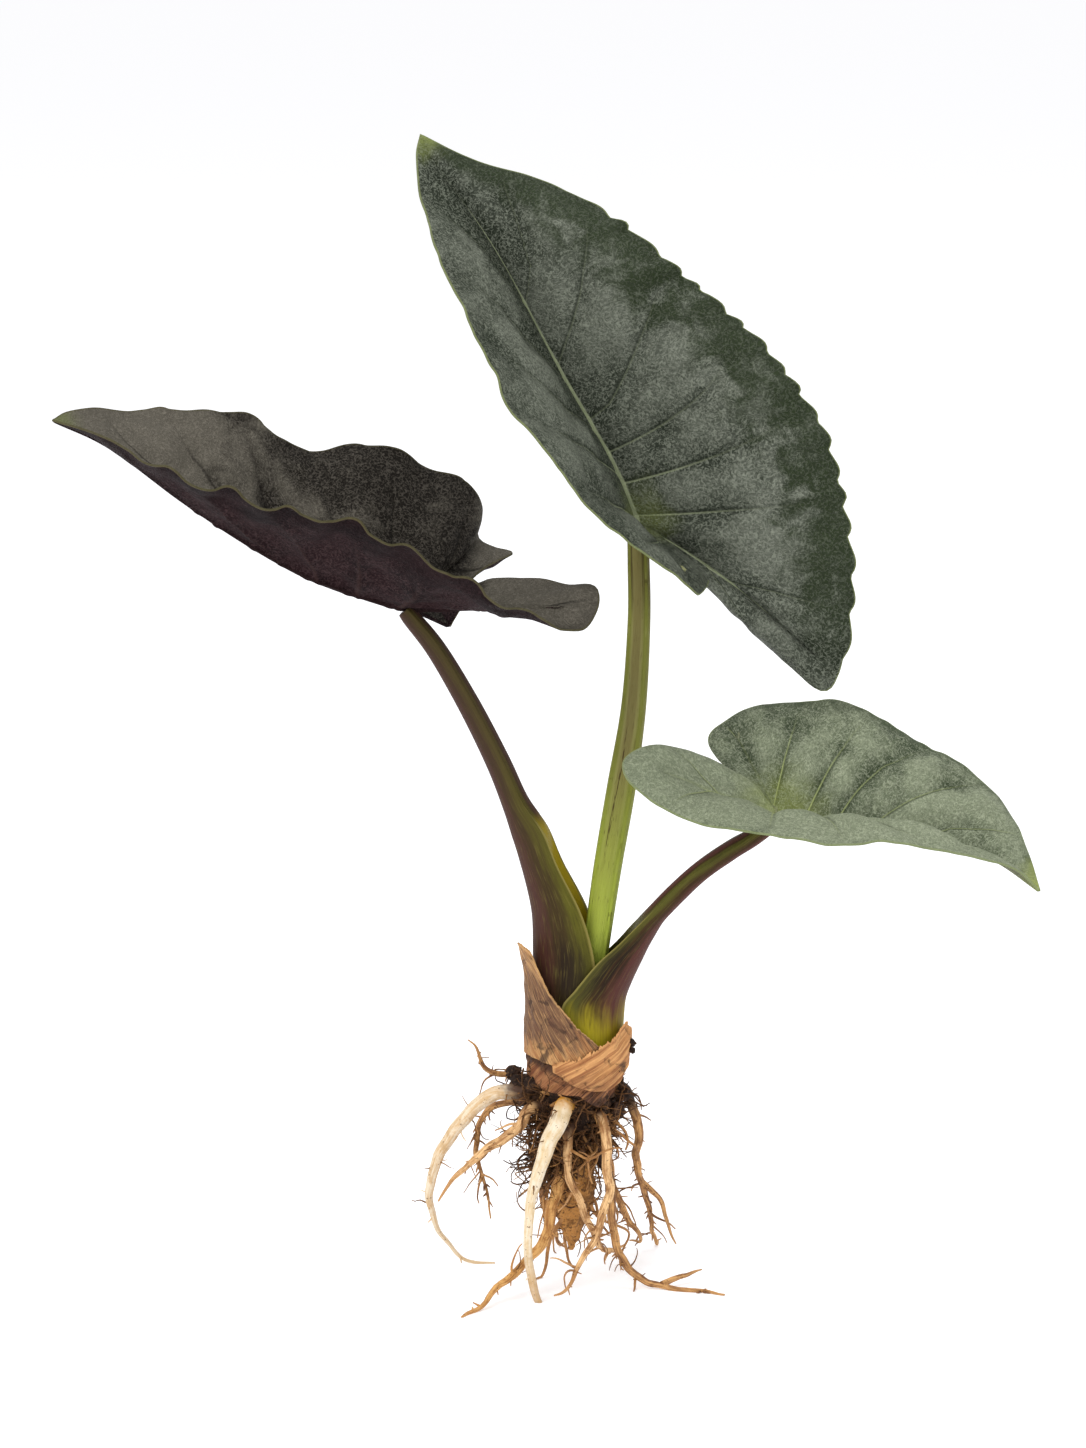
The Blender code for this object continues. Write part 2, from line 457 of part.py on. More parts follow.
def build_blade(blade):
    """A thin waved blade: two halves that share the midrib and the seam behind the hub."""
    bm = bmesh.new()
    for half in blade.halves:
        grid = [[bm.verts.new(place(blade_point(half, *pair, t))) for t in BLADE_COLUMNS]
                for pair in half_rows(blade, half)]
        for low, high in zip(grid, grid[1:]):
            for i in range(len(BLADE_COLUMNS) - 1):
                bm.faces.new((low[i], low[i + 1], high[i + 1], high[i]))
    bmesh.ops.remove_doubles(bm, verts=bm.verts, dist=0.02 * MM)
    solidify(new_object(blade.name, bm, blade.paint), BLADE_THICKNESS)


def petiole_ring(row, out, across, sides=8):
    """Section of a stalk: an outer arc, closed by a wall that follows it or by a filled, grooved front."""
    deep, wide, opening, wall, fill = row[3:]
    opening = math.radians(opening)
    ring = []
    for u in np.linspace(-1, 1, sides):
        ring.append((deep * math.cos(opening * u), wide * math.sin(opening * u)))
    for u in np.linspace(1, -1, sides):
        thick = WALL_EDGE + (wall - WALL_EDGE) * (1 - u * u)
        shell = ((deep - thick) * math.cos(opening * u), (wide - thick) * math.sin(opening * u))
        back = deep * math.cos(opening)
        chord = (back - (GROOVE_DEPTH * deep + back) * (1 - u * u), (wide * math.sin(opening) - WALL_EDGE) * u)
        ring.append(tuple(s * (1 - fill) + c * fill for s, c in zip(shell, chord)))
    return [row[:3] + x * out + y * across for x, y in ring]


def build_petiole(petiole, count=19):
    """A stalk that opens into a sheath towards its base."""
    rows = smooth(petiole.stations, count)
    pairs = frames(rows[:, :3], petiole.outward)
    rings = [petiole_ring(row, out, across) for row, (out, across) in zip(rows, pairs)]
    rings[0] = [(x, y, rows[0, 2]) for x, y, _ in rings[0]]
    new_object(petiole.name, loft(rings), petiole.paint)


def build_sheath(sheath, columns=22, levels=4):
    """A dry, slightly crumpled wall round part of the neck."""
    table = np.array(sheath.rows, float)
    bm = bmesh.new()
    grid = []
    for angle in np.linspace(table[0, 0], table[-1, 0], columns):
        low, high, radius = (np.interp(angle, table[:, 0], table[:, k]) for k in (1, 2, 3))
        turn = math.radians(angle)
        column = []
        for level in range(levels + 1):
            height = low + (high - low) * level / levels
            lean = sheath.flare * max(0.0, (height - FLARE_FROM) / FLARE_OVER) ** 2
            crease = CREASE * math.sin(5 * turn + 0.4 * height)
            reach = radius + lean + crease
            column.append(bm.verts.new(place((reach * math.cos(turn), reach * math.sin(turn), height))))
        grid.append(column)
    for low, high in zip(grid, grid[1:]):
        for i in range(levels):
            bm.faces.new((low[i], high[i], high[i + 1], low[i + 1]))
    solidify(new_object(sheath.name, bm, sheath.paint), SHEATH_THICKNESS)


def corm_axis(height):
    """Where the corm's middle is at a height: the old end hangs a little off the axis."""
    down = max(0.0, (CORM_TOP - height) / CORM_TOP)
    return CORM_DRIFT[0] * down ** 1.5, CORM_DRIFT[1] * down ** 1.5


def corm_body(name, grow, visible):
    """The corm: a knobbly turned body with its lumps joined to it."""
    rings = []
    turns = np.arange(CORM_SIDES) * 2 * math.pi / CORM_SIDES
    for height, radius in CORM_PROFILE:
        x, y = corm_axis(height)
        ring = []
        for turn in turns:
            knob = noise.noise(Vector((2.2 * math.cos(turn), 2.2 * math.sin(turn), height * 0.16)))
            reach = radius * (1 + 2 * CORM_BUMP * knob) + grow
            ring.append((x + reach * math.cos(turn), y + reach * math.sin(turn), height))
        rings.append(ring)
    body = new_object(name, loft(rings), DARK, visible)
    lumps = []
    for i, (x, y, z, radius) in enumerate(CORM_LUMPS):
        bm = bmesh.new()
        bmesh.ops.create_icosphere(bm, subdivisions=2, radius=(radius + grow) * MM)
        bmesh.ops.translate(bm, verts=bm.verts, vec=place((x, y, z)))
        lumps.append(new_object(f"{name} lump {i}", bm, DARK, False))
    combine(body, lumps, "UNION")
    return body


class Thicket:
    """What already grows, so that a new thread can keep clear of it."""

    def __init__(self):
        self.points = np.empty((0, 3))
        self.radii = np.empty(0)
        self.owners = np.empty(0, dtype=object)

    def add(self, owner, stations, spacing=0.5):
        """Notes a strand of a node, read closely along its length."""
        rows = smooth(stations, max(3, int(path_length(stations) / spacing)))
        self.points = np.vstack([self.points, rows[:, :3]])
        self.radii = np.concatenate([self.radii, rows[:, 3]])
        self.owners = np.concatenate([self.owners, [owner] * len(rows)])

    def room(self, point, owner):
        """Distance from a point to the nearest skin of another node, and the direction away from it."""
        away = point - self.points
        reach = np.linalg.norm(away, axis=1) - self.radii
        reach[self.owners == owner] = np.inf
        nearest = int(np.argmin(reach))
        return reach[nearest], unit(away[nearest])


def path_length(stations):
    """Length of the straight runs between stations."""
    return float(np.linalg.norm(np.diff(np.array(stations)[:, :3], axis=0), axis=1).sum())


@dataclass(frozen=True)
class Thread:
    """How a fine root grows: its radius, how fast it turns down, and how far it starts inside its parent."""
    radius: float
    droop: float
    buried: float


def wander(rng, owner, start, heading, length, habit, thicket):
    """A thread that wanders down from its start, bends off what is in its way and ends where it can't."""
    stations = [(*start, habit.radius)]
    point, heading = np.array(start, float), unit(heading)
    for i in range(1, int(length / THREAD_STEP) + 1):
        heading = unit(heading + THREAD_WANDER * rng.normal(size=3) - np.array((0.0, 0.0, habit.droop)))
        trial = point + heading * THREAD_STEP
        radius = habit.radius * (1 - THREAD_TAPER * i * THREAD_STEP / length)
        if i * THREAD_STEP > habit.buried:
            gap, away = thicket.room(trial, owner)
            need = radius + THREAD_CLEARANCE
            if gap < need:
                trial = trial + away * (need - gap)
                heading = unit(trial - point)
            tight = min(thicket.room(trial, owner)[0], thicket.room((trial + point) / 2, owner)[0] + 0.3)
            if tight < radius + 0.8 * THREAD_CLEARANCE:
                break
        if trial[2] < FLOOR_CLEARANCE + radius:
            break
        stations.append((*trial, radius))
        point = trial
    return stations


def thread_solid(name, stations):
    """A helper solid for a fine root: three-sided, with a ring every few millimetres."""
    count = max(4, int(len(stations) * 0.62) + 1)
    return new_object(name, loft(strand_rings(stations, 3, count)), DARK, False)


def build_root(root, rng, thicket):
    """A thick root with its branches and rootlets in one solid, cut clear of the corm."""
    count = int(path_length(root.stations) / RING_SPACING) + 3
    body = new_object(root.name, loft(strand_rings(root.stations, 8, count)), root.paint)
    extras = [new_object(f"{root.name} branch", loft(strand_rings(branch, 6, 8)), root.paint, False)
              for branch in root.branches]
    rows = smooth(root.stations, 40)
    along = unit(rows[-1, :3] - rows[0, :3])
    for i in range(root.rootlets):
        x, y, z, thick = rows[int(rng.uniform(9, 38))]
        heading = unit(np.cross(along, rng.normal(size=3)) + 0.5 * along)
        habit = Thread(radius=0.42, droop=0.2, buried=thick + 0.4)
        path = wander(rng, root.name, (x, y, z), heading, rng.uniform(*ROOTLET_LENGTH), habit, thicket)
        if len(path) > 3:
            thicket.add(root.name, path)
            extras.append(thread_solid(f"{root.name} rootlet {i}", path))
    combine(body, extras, "UNION")
    combine(body, [corm_body(f"{root.name} cutter", GAP, False)], "DIFFERENCE")
    keep_largest(body)
    rest_on_floor(body)


def build_roots(rng):
    """All thick roots, and the thicket that they make."""
    thicket = Thicket()
    for root in ROOTS:
        for strand in (root.stations, *root.branches):
            thicket.add(root.name, strand)
    for root in ROOTS:
        build_root(root, rng, thicket)
    return thicket


def build_corm(rng, thicket):
    """The corm with the fine brown roots that cover its lower end, in one solid."""
    body = corm_body("corm", 0.0, True)
    heights, radii = (column[::-1] for column in zip(*CORM_PROFILE))
    threads = []
    while len(threads) < FINE_ROOTS:
        height = rng.uniform(*FINE_ROOT_HEIGHT)
        turn = rng.uniform(0, 2 * math.pi)
        out = np.array((math.cos(turn), math.sin(turn), 0.0))
        radius = np.interp(height, heights, radii)
        middle = np.array((*corm_axis(height), height))
        if thicket.room(middle + 1.06 * radius * out, "corm")[0] < FINE_ROOT_ROOM:
            continue
        habit = Thread(radius=0.5, droop=0.24, buried=0.4 * radius)
        path = wander(rng, "corm", middle + 0.72 * radius * out, out - np.array((0, 0, 0.25)),
                      rng.uniform(*FINE_ROOT_LENGTH), habit, thicket)
        if len(path) > 5:
            threads.append(thread_solid(f"corm thread {len(threads)}", path))
    combine(body, threads, "UNION")
    keep_largest(body)


def main():
    for thing in list(bpy.data.objects):
        bpy.data.objects.remove(thing)
    rng = np.random.default_rng(ROOT_SEED)
    for blade in BLADES:
        build_blade(blade)
    for petiole in PETIOLES:
        build_petiole(petiole)
    for sheath in SHEATHS:
        build_sheath(sheath)
    build_corm(rng, build_roots(rng))


main()
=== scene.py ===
"""A young alocasia with bare roots: leaves, stalks, dry sheaths, corm and roots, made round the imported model.

Lengths are millimetres from the corm's upright axis unless a name says otherwise. to_scene() turns them into metres.
"""
import logging
import math
from dataclasses import dataclass
from enum import Enum
from typing import Any, Sequence

import bpy
import numpy as np
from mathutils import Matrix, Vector, noise


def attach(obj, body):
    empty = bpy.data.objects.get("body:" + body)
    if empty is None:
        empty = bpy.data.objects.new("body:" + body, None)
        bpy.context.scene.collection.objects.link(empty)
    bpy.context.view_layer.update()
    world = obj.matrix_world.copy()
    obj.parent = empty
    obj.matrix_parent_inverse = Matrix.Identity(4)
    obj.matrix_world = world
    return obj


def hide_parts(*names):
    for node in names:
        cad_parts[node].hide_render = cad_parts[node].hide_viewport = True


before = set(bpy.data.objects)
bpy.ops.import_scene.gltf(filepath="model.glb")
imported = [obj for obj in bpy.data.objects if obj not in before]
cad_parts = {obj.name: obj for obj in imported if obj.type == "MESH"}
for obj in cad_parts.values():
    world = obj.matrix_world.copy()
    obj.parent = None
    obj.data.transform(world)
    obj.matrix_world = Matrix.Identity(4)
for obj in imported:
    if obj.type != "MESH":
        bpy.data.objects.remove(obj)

LOG = logging.getLogger("alocasia")
BODY = "root"
MM = 0.001
AXIS = np.array((7.6, 4.54, 0.0))     # where the corm's axis stands in the scene
CORM_TOP = 60.0
FLOOR_GAP = 0.35                      # the lowest that a fine root may run
BACK = 37.0                           # how far back a rootlet may reach
SMOOTH_ANGLE = math.radians(60)       # faces that meet flatter than this are shaded as one surface
MARGIN_SAMPLES = 600                  # points read along a leaf half's margin
SEED = 9

Colour = tuple[float, float, float]
Points = np.ndarray


def rgb(code: str) -> Colour:
    """Linear colour of a six-digit screen colour.

    Args:
        code: Red, green and blue in hexadecimal.

    Returns:
        The three linear values.
    """
    values = [int(code[i:i + 2], 16) / 255 for i in (0, 2, 4)]
    return tuple(v / 12.92 if v <= 0.04045 else ((v + 0.055) / 1.055) ** 2.4 for v in values)


def palette(codes: str) -> list[Colour]:
    """Linear colours of several six-digit screen colours with spaces between them."""
    return [rgb(code) for code in codes.split()]


class Signal:
    """A shader value that takes part in Python expressions."""

    def __init__(self, shader: "Shader", socket: bpy.types.NodeSocket) -> None:
        """Keeps the socket and the shader that it belongs to."""
        self.shader = shader
        self.socket = socket

    def __add__(self, other: Any) -> "Signal":
        """Sum."""
        return self.shader.math("ADD", self, other)

    __radd__ = __add__

    def __sub__(self, other: Any) -> "Signal":
        """Difference."""
        return self.shader.math("SUBTRACT", self, other)

    def __rsub__(self, other: Any) -> "Signal":
        """Difference from a number."""
        return self.shader.math("SUBTRACT", other, self)

    def __mul__(self, other: Any) -> "Signal":
        """Product."""
        return self.shader.math("MULTIPLY", self, other)

    __rmul__ = __mul__

    def __truediv__(self, other: Any) -> "Signal":
        """Quotient."""
        return self.shader.math("DIVIDE", self, other)

    def __abs__(self) -> "Signal":
        """Size without its sign."""
        return self.shader.math("ABSOLUTE", self)


class Shader:
    """A material whose nodes are written as expressions."""

    def __init__(self, name: str) -> None:
        """Starts a material with an empty node tree beside its Principled shader.

        Args:
            name: The material's name.
        """
        self.material = bpy.data.materials.new(name)
        self.material.use_nodes = True
        self.tree = self.material.node_tree
        self.principled = self.tree.nodes["Principled BSDF"]

    def node(self, kind: str, settings: dict[str, Any], inputs: dict[Any, Any]) -> bpy.types.Node:
        """Adds a node.

        Args:
            kind: The node's type.
            settings: Its properties.
            inputs: Numbers, colours or signals for its sockets.

        Returns:
            The node.
        """
        node = self.tree.nodes.new(kind)
        for key, value in settings.items():
            setattr(node, key, value)
        for key, value in inputs.items():
            self.feed(node.inputs[key], value)
        return node

    def feed(self, socket: bpy.types.NodeSocket, value: Any) -> None:
        """Links a signal to a socket or sets its plain value.

        Args:
            socket: The socket.
            value: A signal, number or colour.
        """
        if isinstance(value, Signal):
            self.tree.links.new(value.socket, socket)
        elif socket.type == "RGBA":
            socket.default_value = (*value[:3], 1.0)
        else:
            socket.default_value = value

    def signal(self, node: bpy.types.Node, output: Any = 0) -> Signal:
        """One output of a node as a signal."""
        return Signal(self, node.outputs[output])

    def math(self, operation: str, *terms: Any) -> Signal:
        """A Math node over one to three values."""
        return self.signal(self.node("ShaderNodeMath", {"operation": operation}, dict(enumerate(terms))))

    def vector_math(self, operation: str, *terms: Any) -> Signal:
        """A Vector Math node."""
        return self.signal(self.node("ShaderNodeVectorMath", {"operation": operation}, dict(enumerate(terms))))

    def place(self) -> Signal:
        """Object coordinates in millimetres."""
        node = self.node("ShaderNodeTexCoord", {}, {})
        return self.vector_math("MULTIPLY", self.signal(node, "Object"), (1 / MM,) * 3)

    def track(self, name: str) -> Signal:
        """A vector attribute of the mesh."""
        return self.signal(self.node("ShaderNodeAttribute", {"attribute_name": name}, {}), "Vector")

    def split(self, vector: Signal) -> tuple[Signal, Signal, Signal]:
        """The three parts of a vector."""
        node = self.node("ShaderNodeSeparateXYZ", {}, {0: vector})
        return tuple(self.signal(node, i) for i in range(3))

    def join(self, x: Any, y: Any, z: Any) -> Signal:
        """A vector from three values."""
        return self.signal(self.node("ShaderNodeCombineXYZ", {}, {0: x, 1: y, 2: z}))

    def noise(self, vector: Signal, scale: float, detail: float = 3.0, roughness: float = 0.5,
              warp: float = 0.0) -> Signal:
        """Fractal noise from 0 to 1.

        Args:
            vector: Where it is read.
            scale: How many grains fit in one unit.
            detail: Finer layers on top.
            roughness: Weight of the finer layers.
            warp: How much the noise bends itself.

        Returns:
            The noise value.
        """
        inputs = {"Vector": vector, "Scale": scale, "Detail": detail, "Roughness": roughness, "Distortion": warp}
        return self.signal(self.node("ShaderNodeTexNoise", {}, inputs), "Fac")

    def stretch(self, vector: Signal, factors: Sequence[float]) -> Signal:
        """A vector scaled along each axis."""
        return self.vector_math("MULTIPLY", vector, tuple(factors))

    def step(self, value: Signal, low: float, high: float) -> Signal:
        """A soft step from 0 at low to 1 at high; high may lie under low.

        Args:
            value: What is read.
            low: Where the step is 0.
            high: Where it is 1.

        Returns:
            The step.
        """
        inputs = {"Value": value, "From Min": min(low, high), "From Max": max(low, high),
                  "To Min": float(low > high), "To Max": float(low < high)}
        node = self.node("ShaderNodeMapRange", {"interpolation_type": "SMOOTHSTEP"}, inputs)
        return self.signal(node)

    def hairline(self, vector: Signal, detail: float, width: float) -> Signal:
        """Thin curling lines along the middle value of a noise, 1 on a line."""
        return self.step(abs(self.noise(vector, 1.0, detail, 0.5) - 0.5), width, width * 0.25)

    def mix(self, mask: Any, first: Any, second: Any) -> Signal:
        """First colour where the mask is 0, second where it is 1."""
        node = self.node("ShaderNodeMix", {"data_type": "RGBA"}, {0: mask, 6: first, 7: second})
        return self.signal(node, 2)

    def paint(self, colour: Any, *coats: tuple[Any, Any]) -> Any:
        """A colour under coats, each a mask and its colour, laid over the ones before it.

        Args:
            colour: The ground.
            coats: Pairs of mask and colour.

        Returns:
            The painted colour.
        """
        for mask, coat in coats:
            colour = self.mix(mask, colour, coat)
        return colour

    def finish(self, colour: Signal, roughness: Any, height: Signal, bump: float,
               **plain: float) -> bpy.types.Material:
        """Connects the surface.

        Args:
            colour: Base colour.
            roughness: Roughness, as a number or a signal.
            height: Relief in millimetres.
            bump: Strength of the relief.
            plain: Plain values for other sockets, with their spaces as underscores.

        Returns:
            The finished material.
        """
        relief = self.node("ShaderNodeBump", {}, {"Strength": bump, "Distance": MM, "Height": height})
        self.feed(self.principled.inputs["Base Color"], colour)
        self.feed(self.principled.inputs["Roughness"], roughness)
        self.feed(self.principled.inputs["Normal"], self.signal(relief))
        for name, value in plain.items():
            self.principled.inputs[name.replace("_", " ")].default_value = value
        return self.material


class Side(Enum):
    """Material slot of each face of a leaf."""
    UPPER = 0
    UNDER = 1


@dataclass(frozen=True)
class BladeFinish:
    """Colours of one face of a leaf blade."""
    name: str
    bright: Colour          # silvery patches
    dark: Colour            # deep patches
    ridge_highlight: Colour           # painted highlights along fine ridges: the light hairlines
    edge: Colour            # broad zone inside the margin
    rim: Colour             # thin line round the margin
    rib: Colour             # midrib
    hub: Colour             # glow round the hub and at the tip
    vein: Colour            # lateral veins
    edge_width: float = 12.0
    margin: float = 0.3     # strength of that zone
    grain: float = 1.0      # how strongly the hairlines, painted highlights and shade, show
    shift: float = 0.0      # lighter or darker as a whole
    second: float = 0.0     # painted light: how much lighter the second half is
    fold_shade: float = 0.0       # partly darker green, partly painted shade of the fold: dark band beside the midrib of the second half
    tip_sheen: float = 0.0  # painted sheen: how much lighter the third next to the tip is
    basal: float = 1.0      # how clearly the basal ribs show
    vein_light: float = 0.15
    lobe_lit: float = 0.0 # painted light: how much lighter the far end of the lobe is
    hub_reach: float = 14.0
    gloss: float = 0.2
    roughness: float = 0.6

    def material(self) -> bpy.types.Material:
        """The blade's velvety skin, with veins, hairlines of painted highlight and shade, and a coloured rim.

        Returns:
            The material.
        """
        s = Shader(self.name)
        place = s.place()
        share, across, vein = s.split(s.track("strip"))
        from_rib, from_edge, spacing = s.split(s.track("reach"))
        from_hub, half, from_tip = s.split(s.track("zone"))
        clouds = s.noise(place, 0.12, 2, 0.55, 0.9)
        fibres, light, deep = self._hairlines(s, place, share, from_rib)
        # The sheet's relief, also used in the tone below as painted light and shade: raised pillows lighter than the
        # grooves.
        raised = s.split(s.track("relief"))[0]
        # Large patches of tone: partly the leaf's own silver and deep green, partly painted light and shade of soft
        # folds.
        tone = s.noise(place, 0.045, 2, 0.5, 0.4) * 0.8 + clouds * 0.7 - 0.25 + (fibres - 0.5) * 0.6 + self.shift
        # Painted light: the second half lighter as a whole.
        # Painted sheen on the third next to the tip.
        tone = tone + half * self.second + s.step(from_tip, 85.0, 15.0) * self.tip_sheen + raised * 0.18
        # Painted light on the far end of the lobe, whose inner part lies in shade.
        tone = tone + s.step(from_tip, 112.0, 126.0) * self.lobe_lit
        # Dark band beside the midrib of the second half: partly the leaf's darker green, partly painted shade of the
        # fold.
        tone = tone - s.step(from_rib, 14.0, 3.0) * half * self.fold_shade
        # Greener, deeper zone inside the margin, under the light and dark hairlines.
        reach = from_edge + (clouds - 0.5) * 2.4 * self.edge_width + (fibres - 0.5) * 10.0
        edge_zone = s.step(reach, self.edge_width * 1.3, self.edge_width * 0.25) * s.step(across, 0.2, 0.6)
        edge_zone = edge_zone * (1.0 - half * 0.85) * s.step(share, 0.86, 0.70)
        # Lateral veins: a dark line beside a thin light one, clearer near the ribs.
        off_vein = s.math("FRACT", vein + 0.5) * spacing - 0.5 * spacing
        fading = s.step(across, 0.95, 0.25)
        line = s.step(abs(off_vein), 0.4, 0.12) * fading
        # Glow at the hub and the tip, and the rib's line, weaker along the basal rib.
        glow = s.step(from_hub + (clouds - 0.5) * 14.0, self.hub_reach, 1.0) * 0.35
        glow = s.math("MAXIMUM", glow, s.step(from_tip + (clouds - 0.5) * 8.0, 10.0, 0.5) * 0.7)
        width = 0.35 + s.step(from_tip, 0.0, 115.0) * 1.5
        rib_line = s.step(from_rib / width, 0.85, 0.5) * s.step(from_tip, 2.0, 25.0) * s.step(from_edge, 3.0, 9.0)
        basal = 1.0 - s.step(share, 0.6, 0.68) * (1.0 - self.basal)
        colour = s.paint(self.dark,
                         (s.step(tone, 0.25, 0.8), self.bright),
                         (edge_zone * self.margin, self.edge),
                         # Painted shade and painted highlights along the fine hairlines.
                         (deep * self.grain * 0.6, self.dark),
                         (light * self.grain * (0.6 - 0.42 * edge_zone), self.ridge_highlight),
                         (s.step(abs(off_vein + 0.45), 0.9, 0.2) * fading * 0.6, self.vein),
                         (line * (self.vein_light + s.step(from_hub, 32.0, 6.0) * 0.4), self.rib),
                         (glow * (0.5 + fibres), self.hub),
                         (rib_line * basal * 0.85, self.rib),
                         (s.step(from_edge, 0.45, 0.15) * 0.8, self.rim))
        height = fibres * 0.25 + light * 0.22 - deep * 0.15 + clouds * 0.8 - line * 0.15 + rib_line * 0.25
        roughness = self.roughness + 0.25 * (0.5 - fibres)
        return s.finish(colour, roughness, height, 0.7, Specular_IOR_Level=self.gloss)

    @staticmethod
    def _hairlines(s: Shader, place: Signal, share: Signal, from_rib: Signal) -> tuple[Signal, Signal, Signal]:
        """Soft fibres that run out from the ribs, and light and dark hairlines that curl over them: painted
        highlights along fine ridges and painted shade beside them.

        Args:
            s: The material's shader.
            place: Object coordinates in millimetres.
            share: Share of the margin that a point faces.
            from_rib: Distance from the rib.

        Returns:
            Fibres, light hairlines of painted highlight and dark ones of painted shade.
        """
        wander = s.node("ShaderNodeTexNoise", {}, {"Vector": place, "Scale": 0.16, "Detail": 2.0})
        warp = s.vector_math("SUBTRACT", s.signal(wander, "Color"), (0.5, 0.5, 0.5))
        run = s.vector_math("ADD", s.join(from_rib, share * 250.0, 0.0), s.stretch(warp, (14.0, 14.0, 14.0)))
        fibres = s.noise(s.stretch(run, (0.34, 2.1, 1.0)), 1.0, 3, 0.62, 0.25)
        broken = s.step(s.noise(place, 0.8, 2, 0.5), 0.44, 0.56)
        speck = s.noise(place, 1.5, 1, 0.5)
        # Light hairlines: painted highlights along fine ridges; light specks join them.
        light = s.hairline(s.stretch(run, (0.5, 1.3, 0.5)), 1.0, 0.06) * broken
        light = s.math("MAXIMUM", light, s.hairline(s.stretch(place, (0.7, 0.62, 0.66)), 1.0, 0.06) * (1.0 - broken))
        light = s.math("MAXIMUM", light * 0.8, s.step(speck, 0.54, 0.68) * 0.7)
        # Dark hairlines: painted shade beside the ridges; dark specks join them.
        deep = s.hairline(s.vector_math("ADD", s.stretch(run, (0.42, 1.1, 0.37)), (0.12, 0.1, 3.3)), 1.0, 0.07)
        deep = s.math("MAXIMUM", deep * 0.7, s.step(speck, 0.46, 0.32) * 0.7)
        return fibres, light, deep


@dataclass(frozen=True)
class StalkFinish:
    """Colours of a leaf stalk, from its back round to its free edges."""
    name: str
    outer: Colour           # the back, facing outward
    middle: Colour
    flank: Colour           # towards the free edges
    blotch: Colour          # dark stain on the sheath
    foot: Colour            # the base
    rim: Colour             # thin free edges
    inner: Colour           # inside of the sheath
    blotch_height: float = 76.0
    blotch_reach: float = 16.0
    foot_low: float = 62.0
    foot_high: float = 84.0
    marks: float = 0.0      # dark dashes along the front
    crown: Colour = (0.1, 0.09, 0.04)   # the upper end
    crown_share: float = 0.0

    def material(self) -> bpy.types.Material:
        """Fleshy skin with long streaks, coloured round its girth.

        Returns:
            The material.
        """
        s = Shader(self.name)
        place = s.place()
        turn, fill, wall = s.split(s.track("girth"))
        height = s.split(place)[2]
        lines = s.noise(s.join(turn * 13.0, height * 0.045, 0.0), 1.0, 4, 0.62)
        fine = s.noise(s.join(turn * 48.0, height * 0.16, 4.0), 1.0, 3, 0.6)
        blot = s.noise(s.stretch(place, (0.14, 0.14, 0.06)), 1.0, 3, 0.55, 0.3)
        around = abs(turn) + (lines - 0.5) * 0.35 + (blot - 0.5) * 0.25
        stain = s.step(abs(height - self.blotch_height), self.blotch_reach, self.blotch_reach * 0.2)
        stain = stain * s.step(abs(around - 0.74), 0.30, 0.08)
        low = s.step(height + (lines - 0.5) * 14.0 + (blot - 0.5) * 14.0, self.foot_high, self.foot_low)
        dash = s.noise(s.join(turn * 9.0, height * 0.22, 11.0), 1.0, 2, 0.5)
        scar = s.step(abs(turn + (blot - 0.5) * 0.5 - 0.25), 0.11, 0.05) * wall * s.step(dash, 0.42, 0.50)
        scar = scar * s.step(height, 108.0, 118.0) * s.step(height, 152.0, 142.0)
        dash = s.math("MAXIMUM", s.step(dash, 0.64, 0.69) * 0.6, scar)
        opened = s.step(fill, 0.95, 0.75)
        colour = s.paint(self.outer,
                         (s.step(around, 0.40, 0.62), self.middle),
                         (s.step(around, 0.64, 0.92), self.flank),
                         (stain * s.step(lines, 0.3, 0.55) * 0.85, self.blotch),
                         (low * 0.9, self.foot),
                         (s.step(fine, 0.52, 0.72) * 0.30, self.rim),
                         (s.step(fine, 0.46, 0.30) * 0.35, self.blotch),
                         (s.step(height, 100.0, 150.0) * self.crown_share, self.crown),
                         (dash * self.marks, self.blotch),
                         (s.step(wall, 0.3, 0.7) * opened, self.inner),
                         (s.step(abs(turn), 0.955, 0.985) * opened, self.rim))
        return s.finish(colour, 0.48 + 0.18 * fine, lines * 0.35 + fine * 0.22, 0.45, Specular_IOR_Level=0.13)


@dataclass(frozen=True)
class DryFinish:
    """Colours of a dry sheath."""
    name: str
    base: Colour
    fibre: Colour
    stain: Colour
    dark: Colour
    stain_from: float
    stain_to: float
    lean: float = 0.0       # how much its fibres lean off the upright
    contrast: float = 1.0   # how strongly its fine fibres show
    tuck_shade: float = 0.0       # painted shade: how dark its upper edge is, where it runs under the next scale

    def material(self) -> bpy.types.Material:
        """Papery skin with long fibres and a stain.

        Returns:
            The material.
        """
        s = Shader(self.name)
        place = s.place()
        turn, rise, edge = s.split(s.track("girth"))
        height = s.split(place)[2]
        lean = turn * 9.0 + height * self.lean
        fibre = s.noise(s.join(lean * 0.7, height * 0.07, 0.0), 1.0, 3, 0.6, 0.5)
        thin = s.noise(s.join(lean * 4.2, height * 0.16, 2.0), 1.0, 4, 0.65, 0.2)
        blot = s.noise(place, 0.19, 4, 0.6, 0.7)
        stain = s.step(height + (fibre - 0.5) * 20.0 + (blot - 0.5) * 10.0, self.stain_from, self.stain_to)
        colour = s.paint(self.base,
                         (s.step(fibre, 0.36, 0.62), self.fibre),
                         (stain * s.step(height, 92.0, 78.0) * 0.85, self.stain),
                         (s.step(thin, 0.52, 0.66) * 0.6 * self.contrast, self.fibre),
                         (s.step(thin, 0.48, 0.36) * 0.65 * self.contrast, self.dark),
                         (s.step(blot, 0.46, 0.32) * 0.8, self.dark),
                         (s.step(edge, 0.95, 0.99) * 0.6, self.fibre),
                         # Painted shade on the upper edge, where it runs under the next scale.
                         (s.step(rise + (blot - 0.5) * 0.8, 0.5, 0.8) * self.tuck_shade, self.dark))
        return s.finish(colour, 0.62 + 0.2 * fibre, fibre * 0.9 + thin * 0.45, 0.8, Specular_IOR_Level=0.3)


